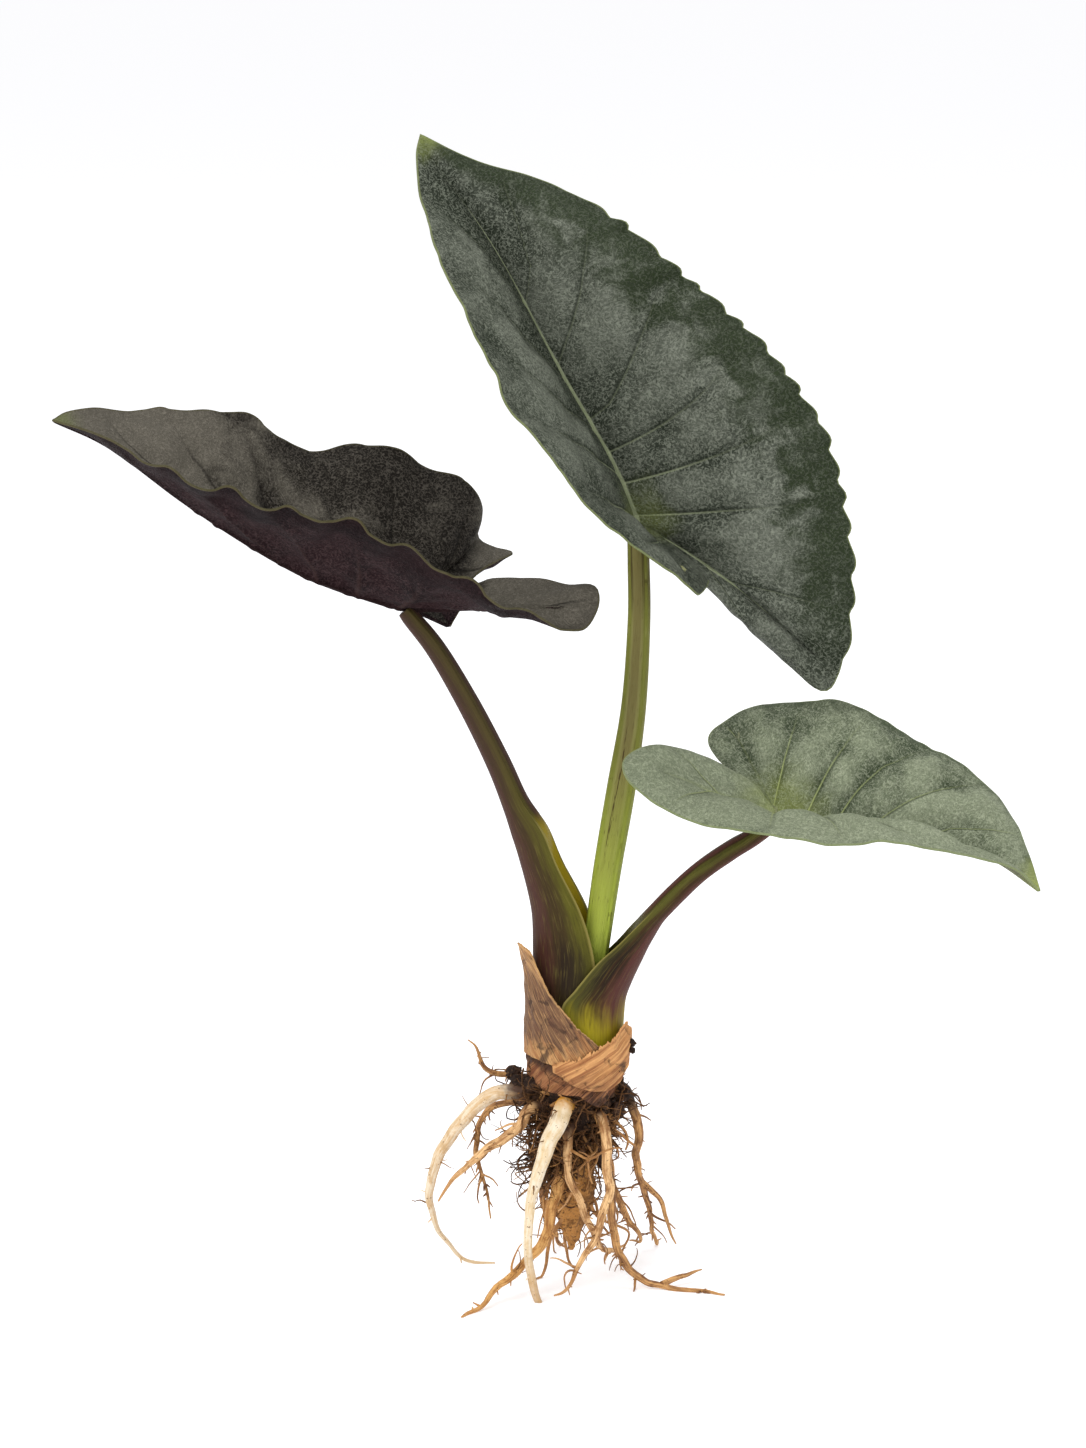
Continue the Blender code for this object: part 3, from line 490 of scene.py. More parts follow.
@dataclass(frozen=True)
class RootFinish:
    """Colours of a thick root."""
    name: str
    skin: Colour
    shade: Colour
    speck: Colour
    tip: Colour
    collar: Colour
    collar_length: float = 0.1
    grime: float = 0.3

    def material(self) -> bpy.types.Material:
        """Root skin with wrinkles, stains and dark specks.

        Returns:
            The material.
        """
        s = Shader(self.name)
        place = s.place()
        share, along, turn = s.split(s.track("run"))
        streak = s.noise(s.join(along * 0.16, turn * 2.4, 0.0), 1.0, 4, 0.6, 0.4)
        rings = s.noise(s.join(along * 1.5, turn * 0.5, 7.0), 1.0, 2, 0.5, 0.3)
        blot = s.noise(place, 0.24, 4, 0.62, 0.5)
        specks = s.noise(place, 1.3, 2, 0.55)
        collar = s.step(share + (blot - 0.5) * 0.12, self.collar_length, self.collar_length * 0.55)
        colour = s.paint(self.skin,
                         (s.step(streak * 0.6 + blot * 0.4, 0.40, 0.60), self.shade),
                         (s.step(blot, 0.52, 0.68) * self.grime, self.speck),
                         (s.step(rings, 0.40, 0.30) * 0.35, self.shade),
                         (s.step(share + (blot - 0.5) * 0.2, 0.68, 1.0) * 0.75, self.tip),
                         (collar, self.collar),
                         (s.step(specks, 0.66, 0.71) * 0.9, self.speck))
        height = streak * 0.35 + rings * 0.35 + specks * 0.15
        return s.finish(colour, 0.55 + 0.25 * blot, height, 0.7, Specular_IOR_Level=0.35)


@dataclass(frozen=True)
class BarkFinish:
    """Colours of the corm, its buds, crumbs and the fine roots."""
    name: str
    dark: Colour
    light: Colour
    dust: Colour
    scale: float = 0.5
    old: Colour = (0.2, 0.12, 0.05)     # the golden old end of the corm
    old_high: float = 0.0
    old_low: float = -10.0

    def material(self) -> bpy.types.Material:
        """Rough brown bark with dusty crumbs and a golden old end.

        Returns:
            The material.
        """
        s = Shader(self.name)
        place = s.place()
        height = s.split(place)[2]
        coarse = s.noise(place, self.scale * 0.3, 4, 0.6, 0.5)
        grain = s.noise(place, self.scale * 2.2, 4, 0.65, 0.2)
        old = s.step(height + (coarse - 0.5) * 26.0, self.old_high, self.old_low)
        colour = s.paint(self.dark,
                         (s.step(coarse, 0.38, 0.64), self.light),
                         (s.step(grain, 0.54, 0.70) * 0.6, self.dust),
                         (old * s.step(grain, 0.30, 0.42), self.old),
                         (old * s.step(coarse + (grain - 0.5) * 0.7, 0.53, 0.40) * 0.6, self.light),
                         (s.step(grain, 0.54, 0.66) * 0.35, self.dust))
        return s.finish(colour, 0.78, grain * 0.7 + coarse * 0.4, 0.8, Specular_IOR_Level=0.25)


def unit(vector: Sequence[float]) -> Points:
    """The vector at length one."""
    vector = np.asarray(vector, float)
    return vector / max(np.linalg.norm(vector), 1e-9)


def smooth(stations: Sequence[Sequence[float]], count: int, samples: int = 12) -> Points:
    """Rows read evenly along a Catmull-Rom curve.

    Args:
        stations: Rows whose first three columns are x, y and z.
        count: How many rows come back.
        samples: Steps between two stations.

    Returns:
        The rows, evenly spaced along the curve.
    """
    rows = np.array(stations, float)
    padded = np.vstack([2 * rows[0] - rows[1], rows, 2 * rows[-1] - rows[-2]])
    curve = []
    for a, b, c, d in zip(padded, padded[1:], padded[2:], padded[3:]):
        for t in np.arange(samples) / samples:
            curve.append(0.5 * (2 * b + (c - a) * t + (2 * a - 5 * b + 4 * c - d) * t ** 2
                                + (3 * b - a - 3 * c + d) * t ** 3))
    curve = np.array(curve + [rows[-1]])
    run = np.concatenate([[0], np.cumsum(np.linalg.norm(np.diff(curve[:, :3], axis=0), axis=1))])
    at = np.linspace(0, run[-1], count)
    return np.column_stack([np.interp(at, run, column) for column in curve.T])


def frames(path: Points, outward: Sequence[float],
           level: Sequence[float] = (0.0, 0.0)) -> list[tuple[Points, Points]]:
    """For each point of a path, the outward direction and the one across it.

    Args:
        path: The points.
        outward: Roughly where the first direction looks.
        level: Heights between which the pairs turn from level to square to the path.

    Returns:
        The two directions for each point.
    """
    pairs = []
    for point, tangent in zip(path, np.gradient(path, axis=0)):
        share = float(np.clip((point[2] - level[0]) / max(level[1] - level[0], 1e-6), 0, 1)) if level[1] else 1.0
        tangent = unit((1 - share) * np.array((0.0, 0.0, 1.0)) + share * unit(tangent))
        out = unit(np.asarray(outward, float) - np.dot(outward, tangent) * tangent)
        pairs.append((out, np.cross(tangent, out)))
    return pairs


def to_scene(points: Points) -> Points:
    """Metres in the scene for millimetres from the corm's axis."""
    return (points + AXIS) * MM


def deselect() -> None:
    """Leaves nothing selected, and no mode but object mode."""
    if bpy.context.object and bpy.context.object.mode != "OBJECT":
        bpy.ops.object.mode_set(mode="OBJECT")
    bpy.ops.object.select_all(action="DESELECT")


def focus(*things: bpy.types.Object) -> None:
    """Selects these objects alone and makes the first of them active.

    Args:
        things: The objects.
    """
    deselect()
    for thing in things:
        thing.select_set(True)
    bpy.context.view_layer.objects.active = things[0]


def edit(thing: bpy.types.Object) -> None:
    """Opens one object in edit mode with all of it selected.

    Args:
        thing: The object.
    """
    focus(thing)
    bpy.ops.object.mode_set(mode="EDIT")
    bpy.ops.mesh.select_all(action="SELECT")


def pull(items: Any, label: str, width: int = 1) -> Points:
    """One value, or a row of them, for each item of a mesh collection.

    Args:
        items: The collection.
        label: The value's name.
        width: How many numbers each item has.

    Returns:
        The values, with a row for each item.
    """
    values = np.zeros(len(items) * width, dtype=float if width > 1 else int)
    items.foreach_get(label, values)
    return values.reshape(-1, width) if width > 1 else values


def spread(shape: tuple, *columns: Any) -> Points:
    """Three values stretched over a grid and stacked as vectors."""
    return np.stack([np.broadcast_to(column, shape) for column in columns], axis=-1)


def capped(rings: Points) -> Points:
    """Rings with their middle points before the first and after the last, which close both ends.

    Args:
        rings: Array of rings, points and lengths.

    Returns:
        The rings and their two poles.
    """
    poles = rings.mean(axis=1, keepdims=True)
    count = rings.shape[1]
    return np.vstack([np.repeat(poles[:1], count, 1), rings, np.repeat(poles[-1:], count, 1)])


def bumps(x: float, y: float, z: float) -> float:
    """Smooth noise at a place."""
    return noise.noise(Vector((x, y, z)))


def sheet(name: str, points: Points, tracks: dict[str, Points]) -> bpy.types.Object:
    """A grid primitive bent to its shape.

    Args:
        name: The object's name.
        points: Array of rows, columns and three lengths in millimetres.
        tracks: Vector attributes with a row and a column for each point.

    Returns:
        The new object, which still is an open sheet.
    """
    rows, columns = points.shape[:2]
    deselect()
    bpy.ops.mesh.primitive_grid_add(x_subdivisions=columns - 1, y_subdivisions=rows - 1, size=1.0)
    thing = bpy.context.object
    thing.name = name
    mesh = thing.data
    mesh.name = name
    flat = pull(mesh.vertices, "co", 3)
    column = np.rint((flat[:, 0] + 0.5) * (columns - 1)).astype(int)
    row = np.rint((flat[:, 1] + 0.5) * (rows - 1)).astype(int)
    mesh.vertices.foreach_set("co", to_scene(points[row, column]).ravel())
    corner = pull(mesh.loops, "vertex_index")
    for label, values in tracks.items():
        layer = mesh.attributes.new(label, "FLOAT_VECTOR", "CORNER")
        layer.data.foreach_set("vector", values[row, column][corner].ravel())
    while mesh.uv_layers:
        mesh.uv_layers.remove(mesh.uv_layers[0])
    mesh.update()
    return thing


def merge(thing: bpy.types.Object, outward: bool = True, distance: float = 0.01) -> None:
    """Closes seams and poles, and turns the faces outwards.

    Args:
        thing: The object.
        outward: Whether its faces are turned outwards afterwards.
        distance: Points this close, in millimetres, become one.
    """
    edit(thing)
    bpy.ops.mesh.remove_doubles(threshold=distance * MM)
    bpy.ops.mesh.dissolve_degenerate(threshold=distance * MM * 0.1)
    if outward:
        bpy.ops.mesh.select_all(action="SELECT")
        bpy.ops.mesh.normals_make_consistent(inside=False)
    bpy.ops.object.mode_set(mode="OBJECT")


def unite(things: Sequence[bpy.types.Object], name: str) -> bpy.types.Object:
    """Joins objects into the first of them.

    Args:
        things: The objects.
        name: The name of what they make.

    Returns:
        The joined object.
    """
    focus(*things)
    if len(things) > 1:
        bpy.ops.object.join()
    things[0].name = name
    things[0].data.name = name
    return things[0]


def apply_all(thing: bpy.types.Object) -> None:
    """Applies the object's modifiers in their order.

    Args:
        thing: The object.
    """
    focus(thing)
    for modifier in list(thing.modifiers):
        bpy.ops.object.modifier_apply(modifier=modifier.name)


def declare(thing: bpy.types.Object, materials: Sequence[bpy.types.Material], node: str, stands: bool = True) -> None:
    """Dresses a piece, binds it to the plant's body and reports it.

    Args:
        thing: The piece.
        materials: Its materials in the order of its slots.
        node: The imported solid that it belongs to, hidden when the piece stands for it.
        stands: Whether it stands for that solid.
    """
    for i, material in enumerate(materials):
        if i < len(thing.data.materials):
            thing.data.materials[i] = material
        else:
            thing.data.materials.append(material)
    focus(thing)
    bpy.ops.object.shade_smooth_by_angle(angle=SMOOTH_ANGLE)
    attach(thing, BODY)
    if stands:
        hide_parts(node)
    LOG.info("%s: %d faces", thing.name, len(thing.data.polygons))


@dataclass
class Half:
    """One side of a blade, from the tip round the lobe to the sinus."""
    margin: tuple           # without the tip and the sinus, where both halves meet
    rib_end: tuple
    stops: tuple            # shares of the margin facing the hub, the rib's end and the hub again
    lift: tuple
    wave: tuple
    ruffle: float
    scallop: float
    notches: tuple          # shares of the margin at the dips between its scallops
    veins: tuple            # shares of the margin where the lateral veins end
    slant: float = 0.16     # how much further back a vein leaves the midrib
    bow: tuple = (0.0, 0.0, 0.0)    # how far the basal rib bends off its straight line
    tail: float = 1.0               # share of the lift that is left in the lobe


@dataclass
class Blade:
    """A leaf blade with raised ribs below and shallow grooves above."""
    name: str
    midrib: tuple
    sinus: tuple
    upward: tuple
    halves: tuple
    upper: BladeFinish
    under: BladeFinish
    thickness: float = 0.5
    rib_radius: float = 1.3
    groove: float = 0.22
    quilt: float = 1.3
    buckle: float = 1.4
    midrib_rows: int = 140
    rib_rows: int = 30
    sinus_rows: int = 12
    columns: int = 30
    crowding: float = 1.25          # how much closer its columns lie near the rib
    full_width: float = 30.0        # width of a half from which its belly is full
    end_fade: float = 0.08          # share of the margin at each end where ruffles fade
    vein_width: float = 0.9
    vein_ridge: float = 0.2         # how far the side veins stand out below

    def build(self) -> bpy.types.Object:
        """Makes the blade.

        Returns:
            The finished piece.
        """
        sides = [self._half(index, half) for index, half in enumerate(self.halves)]
        blade = unite(sides, f"leaf_{self.name}")
        merge(blade, outward=False, distance=0.02)
        self._displace(blade, np.ones(len(blade.data.vertices), bool), 0)
        skin = blade.modifiers.new("thickness", "SOLIDIFY")
        skin.thickness = self.thickness * MM
        skin.offset = 0.0
        skin.material_offset = Side.UNDER.value
        skin.material_offset_rim = Side.UPPER.value
        for _ in Side:
            blade.data.materials.append(None)
        apply_all(blade)
        self._raise_ribs(blade)
        declare(blade, [self.upper.material(), self.under.material()], f"blade_{self.name}")
        return blade

    def _rows(self, half: Half) -> tuple[Points, Points, Points]:
        """Points on the ribs, the margin points that they face and the margin's shares.

        Args:
            half: The side.

        Returns:
            The three arrays, a row for each line across the half.
        """
        margin = smooth((self.midrib[0], *half.margin, self.sinus), MARGIN_SAMPLES)
        midrib = smooth(self.midrib, self.midrib_rows + 1)
        hub, rib_end, sinus = (np.array(p) for p in (self.midrib[-1], half.rib_end, self.sinus))
        step = np.linspace(0, 1, self.rib_rows + 1)[:, None]
        basal = hub + (rib_end - hub) * step + np.array(half.bow) * 4 * step * (1 - step)
        legs = [(midrib, 0.0, half.stops[0]),
                (basal, half.stops[0], half.stops[1]),
                (basal[::-1], half.stops[1], half.stops[2]),
                (np.linspace(hub, sinus, self.sinus_rows + 1), half.stops[2], 1.0)]
        rib, shares = [], []
        for number, (skeleton, start, end) in enumerate(legs):
            first = 1 if number else 0
            rib.append(skeleton[first:])
            shares.append(np.linspace(start, end, len(skeleton))[first:])
        share = np.concatenate(shares)
        at = share * (len(margin) - 1)
        edge = np.column_stack([np.interp(at, np.arange(len(margin)), margin[:, k]) for k in range(3)])
        return np.vstack(rib), edge, share

    def _half(self, index: int, half: Half) -> bpy.types.Object:
        """One half as an open sheet with its attributes.

        Args:
            index: Its number, which its zone attribute carries.
            half: The side.

        Returns:
            The sheet, its faces turned upward.
        """
        rib, edge, share = self._rows(half)
        t = np.linspace(0, 1, self.columns) ** self.crowding
        across = edge - rib
        width = np.linalg.norm(across, axis=1)
        belly = np.minimum(width / self.full_width, 1.0)[:, None]
        phase = np.interp(share, (0.0, *half.notches, 1.0), range(len(half.notches) + 2))[:, None]
        fade = (np.minimum(np.minimum(share, 1 - share), self.end_fade) / self.end_fade)[:, None]
        ripple = np.sin(np.pi * phase) * t ** 3 * fade * belly
        lobe = np.sin(np.pi * np.mod(phase, 1.0) ** 1.5)
        notch = (lobe - 0.6) * t ** 5 * fade * belly
        outward = across / np.maximum(width, 1e-6)[:, None]
        lobe_lift = np.interp(share, (0.0, half.stops[0], half.stops[1], 1.0), (1.0, 1.0, half.tail, half.tail))
        points = (rib[:, None] + across[:, None] * t[:, None]
                  + np.array(half.lift) * (4 * t * (1 - t) * belly * lobe_lift[:, None])[..., None]
                  + unit(half.wave) * half.ruffle * ripple[..., None]
                  + outward[:, None] * half.scallop * notch[..., None])
        vein = self._vein(half, share, t)
        run = np.linalg.norm(np.gradient(points, axis=0), axis=2)
        change = np.abs(np.gradient(vein, axis=0))
        spacing = np.clip(run / np.maximum(change, 1e-3), 2.0, 60.0)
        from_rib = width[:, None] * t
        from_edge = width[:, None] * (1 - t)
        relief, ridge = self._relief(vein, spacing, from_rib, t, share, half, belly)
        relief = relief + self._crumple(points) * np.minimum(t * 4, 1.0) * belly
        from_hub, from_tip = (np.linalg.norm(points - np.array(self.midrib[end]), axis=2) for end in (-1, 0))
        tracks = {"strip": spread(vein.shape, share[:, None], t, vein),
                  "reach": spread(vein.shape, from_rib, from_edge, spacing),
                  "relief": spread(vein.shape, relief, ridge, relief),
                  "zone": spread(vein.shape, from_hub, float(index), from_tip)}
        side = sheet(f"{self.name}_half_{index}", points, tracks)
        # The grid's faces look along columns x rows.
        facing = np.cross(points[1:, 1:] - points[1:, :-1], points[1:, 1:] - points[:-1, 1:]).mean(axis=(0, 1))
        if np.dot(facing, self.upward) < 0:
            edit(side)
            bpy.ops.mesh.flip_normals()
            deselect()
        return side

    @staticmethod
    def _vein(half: Half, share: Points, t: Points) -> Points:
        """Vein coordinate of each point; a lateral vein runs wherever it is a whole number.

        Args:
            half: The side.
            share: Share of the margin for each row.
            t: Share of the way from rib to margin for each column.

        Returns:
            The coordinate over rows and columns.
        """
        hub_share = half.stops[0]
        bell = np.minimum(share / 0.25, 1.0) * np.clip((hub_share * 1.02 - share) / 0.2, 0.0, 1.0)
        back = half.slant * bell[:, None] * (1 - t) ** 1.3
        stations = (-0.2, *half.veins, 1.2)
        return np.interp(share[:, None] - back, stations, np.arange(len(stations)))

    def _relief(self, vein: Points, spacing: Points, from_rib: Points, t: Points, share: Points, half: Half,
                belly: Points) -> tuple[Points, Points]:
        """How far the sheet stands out, and how far the ribs stand out below it, in millimetres.

        Args:
            vein: Vein coordinate.
            spacing: Distance between veins.
            from_rib: Distance from the rib.
            t: Share of the way from rib to margin.
            share: Share of the margin for each row.
            half: The side.
            belly: How full the half is in each row.

        Returns:
            The two heights over rows and columns.
        """
        off = np.abs(vein - np.rint(vein))
        line = np.exp(-(off * spacing / self.vein_width) ** 2) * np.clip(1.15 - t, 0, 1)
        pillow = np.sin(np.pi * np.clip(off * 2, 0, 1) / 2) * np.sin(np.pi * np.clip(t, 0, 1)) * belly
        relief = self.quilt * pillow - self.groove * line
        taper = np.interp(share, (0.0, half.stops[0], half.stops[1], half.stops[2], 1.0), (0.25, 1.0, 0.4, 1.0, 0.5))
        radius = np.maximum(self.rib_radius * taper, 0.2)[:, None]
        ridge = radius * np.sqrt(np.clip(1 - (from_rib / (radius * 1.5)) ** 2, 0, 1)) + self.vein_ridge * line
        return relief, ridge

    def _crumple(self, points: Points) -> Points:
        """Soft buckles of the sheet, in millimetres.

        Args:
            points: The sheet's points.

        Returns:
            Their height at each point.
        """
        buckles = np.zeros(points.shape[:2])
        for row, line in enumerate(points):
            for column, point in enumerate(line):
                buckles[row, column] = noise.noise(Vector(point) * 0.075) + 0.35 * noise.noise(Vector(point) * 0.2)
        return self.buckle * buckles

    @staticmethod
    def _displace(thing: bpy.types.Object, chosen: Points, column: int) -> None:
        """Moves points along their normals by a column of the relief, in millimetres.

        Args:
            thing: The blade.
            chosen: Which points move.
            column: The relief's column.
        """
        mesh = thing.data
        size = len(mesh.vertices)
        values = pull(mesh.attributes["relief"].data, "vector", 3)[:, column]
        corner = pull(mesh.loops, "vertex_index")
        total = np.bincount(corner, weights=values, minlength=size)
        amount = total / np.maximum(np.bincount(corner, minlength=size), 1)
        shift = pull(mesh.vertices, "normal", 3) * (amount * chosen)[:, None] * MM
        mesh.vertices.foreach_set("co", (pull(mesh.vertices, "co", 3) + shift).ravel())
        mesh.update()

    def _raise_ribs(self, thing: bpy.types.Object) -> None:
        """Lets the ribs stand out on the underside.

        Args:
            thing: The blade.
        """
        mesh = thing.data
        index = pull(mesh.polygons, "material_index")
        under = np.zeros(len(mesh.vertices), bool)
        upper = np.zeros(len(mesh.vertices), bool)
        for polygon, material in zip(mesh.polygons, index):
            (under if material == Side.UNDER.value else upper)[list(polygon.vertices)] = True
        self._displace(thing, under & ~upper, 1)


@dataclass
class Stalk:
    """A leaf stalk whose base opens into a sheath."""
    name: str
    outward: tuple
    stations: tuple         # x, y, z, half depth, half width, half opening in degrees, wall and fill
    finish: StalkFinish
    level: tuple = (66.0, 112.0)    # heights between which its sections turn square to it
    roll: float = 0.0               # how far its opening is turned, in degrees
    rows: int = 150
    arc: int = 40
    wall_edge: float = 0.45
    groove_depth: float = 0.85

    def build(self) -> bpy.types.Object:
        """Makes the stalk.

        Returns:
            The finished piece.
        """
        rows = smooth(self.stations, self.rows)
        pairs = frames(rows[:, :3], self.outward, self.level)
        rings, tracks = [], []
        for row, (out, across) in zip(rows, pairs):
            ring, girth = self._ring(row, out, across)
            rings.append(ring)
            tracks.append(girth)
        rings = np.array(rings)
        rings[0, :, 2] = rows[0, 2]
        tracks = np.array(tracks)
        points = np.concatenate([rings, rings[:, :1]], axis=1)
        tracks = np.concatenate([tracks, tracks[:, :1]], axis=1)
        tracks = np.concatenate([tracks[:1], tracks, tracks[-1:]])
        stalk = sheet(f"stalk_{self.name}", capped(points), {"girth": tracks})
        merge(stalk)
        declare(stalk, [self.finish.material()], f"petiole_{self.name}")
        return stalk

    def _ring(self, row: Points, out: Points, across: Points) -> tuple[Points, Points]:
        """Section of the stalk: an outer arc, closed by a wall that follows it or by a grooved front.

        Args:
            row: One of the stalk's stations.
            out: The outward direction there.
            across: The direction across it.

        Returns:
            The ring's points and their girth attribute.
        """
        deep, wide, opening, wall, fill = row[3:]
        opening = math.radians(opening)
        roll = math.radians(self.roll) * (1 - fill)
        u = np.linspace(-1, 1, self.arc)
        outer = np.stack([deep * np.cos(opening * u + roll), wide * np.sin(opening * u + roll)], axis=1)
        v = u[::-1]
        thick = self.wall_edge + (wall - self.wall_edge) * (1 - v * v)
        shell = np.stack([(deep - thick) * np.cos(opening * v + roll), (wide - thick) * np.sin(opening * v + roll)],
                         axis=1)
        back = deep * math.cos(opening)
        chord = np.stack([back - (self.groove_depth * deep + back) * (1 - v * v),
                          (wide * math.sin(opening) - self.wall_edge) * v], axis=1)
        inner = shell * (1 - fill) + chord * fill
        section = np.vstack([outer, inner])
        ring = row[:3] + section[:, :1] * out + section[:, 1:] * across
        girth = np.stack([np.concatenate([u, v]), np.full(2 * self.arc, fill),
                          np.repeat([0.0, 1.0], self.arc)], axis=1)
        return ring, girth


@dataclass
class DrySheath:
    """A dry scale round the neck, thin, creased and torn at its edge."""
    name: str
    rows: tuple             # angle, lower height, upper height and radius
    flare: float
    finish: DryFinish
    thickness: float = 0.45
    fray: float = 0.5
    folds: float = 0.25     # height of its creases
    columns: int = 150
    levels: int = 40

    def build(self) -> bpy.types.Object:
        """Makes the scale.

        Returns:
            The finished piece.
        """
        table = np.array(self.rows, float)
        angles = np.linspace(table[0, 0], table[-1, 0], self.columns)
        low, high, radius = (np.interp(angles, table[:, 0], table[:, k]) for k in (1, 2, 3))
        share = np.linspace(0, 1, self.levels)
        jag = np.array([bumps(a * 0.35, 3.1, 0) + 0.5 * bumps(a * 1.1, 9.7, 0) for a in angles])
        high = high + self.fray * jag * np.clip((high - low) / 4.0, 0, 1)
        height = low[:, None] + (high - low)[:, None] * share
        turn = np.radians(angles)[:, None]
        lean = self.flare * np.maximum(0.0, (height - 80.0) / 9.0) ** 2
        crease = self.folds * self._folds(turn, height)
        wrinkle = np.array([[bumps(a * 0.12, z * 0.05, 5.0) for z in row] for a, row in zip(angles, height)])
        reach = radius[:, None] + lean + crease + 0.22 * wrinkle
        points = np.stack([reach * np.cos(turn), reach * np.sin(turn), height], axis=2)
        edge = np.maximum(share, np.abs(angles - angles.mean())[:, None] * 2 / np.ptp(angles))
        girth = spread(height.shape, turn, share, edge)
        scale = sheet(self.name, points, {"girth": girth})
        merge(scale, outward=False)
        skin = scale.modifiers.new("thickness", "SOLIDIFY")
        skin.thickness = self.thickness * MM
        skin.offset = 0.0
        apply_all(scale)
        merge(scale)
        declare(scale, [self.finish.material()], self.name)
        return scale

    def _folds(self, turn: Points, height: Points) -> Points:
        """Sharp creases along the fibres, about 1 high.

        Args:
            turn: Angle of each column.
            height: Height of each point.

        Returns:
            The creases over columns and levels.
        """
        across = turn * 9.0 + height * self.finish.lean
        along = height - turn * 13.0 * self.finish.lean
        ridges = np.zeros(height.shape)
        for i in range(height.shape[0]):
            for j in range(height.shape[1]):
                a, b = across[i, j], along[i, j]
                wide = bumps(a * 0.17, b * 0.06, 2.0)
                fine = bumps(a * 0.5, b * 0.12, 6.0)
                ridges[i, j] = 0.8 * max(0.0, 1 - 5 * abs(wide)) + 0.2 * max(0.0, 1 - 3 * abs(fine)) + 1.4 * wide
        return ridges


def tube(name: str, stations: Sequence[Sequence[float]], spacing: float, sides: int, knobs: float,
         phase: float, wobble: float = 0.0, taper: float = 0.0, begin: float = 0.0) -> bpy.types.Object:
    """A closed round strand with an uneven skin.

    Args:
        name: The object's name.
        stations: x, y, z and radius along it.
        spacing: Distance between its rings.
        sides: Points round a ring.
        knobs: How uneven the skin is, as a share of the radius.
        phase: Where its unevenness starts, so that no two strands are alike.
        wobble: How far it strays from its stations, in millimetres.
        taper: Share of its radius that is lost at the tip.
        begin: Share of a whole root's length at which it starts, for its colours.

    Returns:
        The strand.
    """
    length = float(np.linalg.norm(np.diff(np.array(stations)[:, :3], axis=0), axis=1).sum())
    rows = smooth(stations, max(6, int(length / spacing)))
    gone = np.linspace(0, 1, len(rows))
    rows[:, 3] *= 1 - taper * gone ** 3
    stray = np.array([noise.noise_vector(Vector((i * spacing * 0.17 + phase, 0.0, 0.0))) for i in range(len(rows))])
    rows[:, :3] += wobble * stray * np.minimum(gone * 6, 1.0)[:, None]
    turns = np.linspace(0, 2 * np.pi, sides + 1)
    rings = []
    for i, (row, (out, across)) in enumerate(zip(rows, frames(rows[:, :3], (0.31, 0.93, 0.2)))):
        along = i * spacing
        skin = [1 + knobs * (bumps(math.cos(a) * 0.8, math.sin(a) * 0.8, along * 0.28 + phase)
                             + 0.4 * bumps(math.cos(a) * 2, math.sin(a) * 2, along * 0.9 + phase))
                for a in turns[:-1]]
        skin = np.array(skin + skin[:1])[:, None] * row[3]
        rings.append(row[:3] + skin * (np.cos(turns)[:, None] * out + np.sin(turns)[:, None] * across))
    rings = np.array(rings)
    along = unit(rows[-1, :3] - rows[-2, :3])
    caps = [np.repeat(rows[:1, None, :3], sides + 1, 1),
            np.repeat((rows[-1:, None, :3] + along * rows[-1, 3] * 0.9), sides + 1, 1)]
    shoulder = rows[-1, :3] + (rings[-1] - rows[-1, :3]) * 0.7 + along * rows[-1, 3] * 0.6
    points = np.vstack([caps[0], rings, shoulder[None], caps[1]])
    points[..., 2] = np.maximum(points[..., 2], 0.0)
    count = len(points)
    run = spread(points.shape[:2], np.linspace(begin, 1, count)[:, None], np.arange(count)[:, None] * spacing,
                 np.sin(turns))
    strand = sheet(name, points, {"run": run})
    merge(strand)
    return strand


def threads(name: str, paths: Sequence[Points], bevel: int = 0) -> bpy.types.Object:
    """Many thin strands as one mesh, made from a path curve with a round bevel.

    Args:
        name: The object's name.
        paths: Arrays of x, y, z and radius.
        bevel: Extra edges round each strand.

    Returns:
        The mesh object.
    """
    deselect()
    bpy.ops.curve.primitive_nurbs_path_add()
    thing = bpy.context.object
    thing.name = name
    curve = thing.data
    curve.splines.clear()
    curve.dimensions = "3D"
    curve.bevel_depth = MM
    curve.bevel_resolution = bevel
    curve.use_fill_caps = True
    for path in paths:
        spline = curve.splines.new("POLY")
        spline.points.add(len(path) - 1)
        places = np.column_stack([to_scene(path[:, :3]), np.ones(len(path))])
        spline.points.foreach_set("co", places.ravel())
        spline.points.foreach_set("radius", path[:, 3])
    focus(thing)
    bpy.ops.object.convert(target="MESH")
    thing = bpy.context.object
    thing.data.name = name
    merge(thing, distance=0.001)
    mesh = thing.data
    layer = mesh.attributes.new("run", "FLOAT_VECTOR", "CORNER")
    layer.data.foreach_set("vector", np.tile((0.5, 3.0, 0.4), len(mesh.loops)))
    return thing


def wander(rng: np.random.Generator, start: Points, heading: Points, length: float, radius: float, droop: float,
           curl: float, step: float = 1.0) -> Points:
    """A thread that wanders down from its start.

    Args:
        rng: Source of chance.
        start: Where it starts.
        heading: Where it points at first.
        length: How long it grows.
        radius: Its radius at the start.
        droop: How fast it turns down.
        curl: How much it turns at each step.
        step: Distance between its points.

    Returns:
        Rows of x, y, z and radius.
    """
    point, heading = np.array(start, float), unit(heading)
    turn = rng.normal(size=3) * curl
    rows = [(*point, radius)]
    steps = max(3, int(length / step))
    for i in range(1, steps + 1):
        turn = 0.72 * turn + rng.normal(size=3) * curl * 0.6
        heading = unit(heading + turn - np.array((0.0, 0.0, droop)))
        point = point + heading * step
        point[2] = max(point[2], FLOOR_GAP)
        rows.append((*point, radius * (1 - 0.6 * i / steps)))
    return np.array(rows)


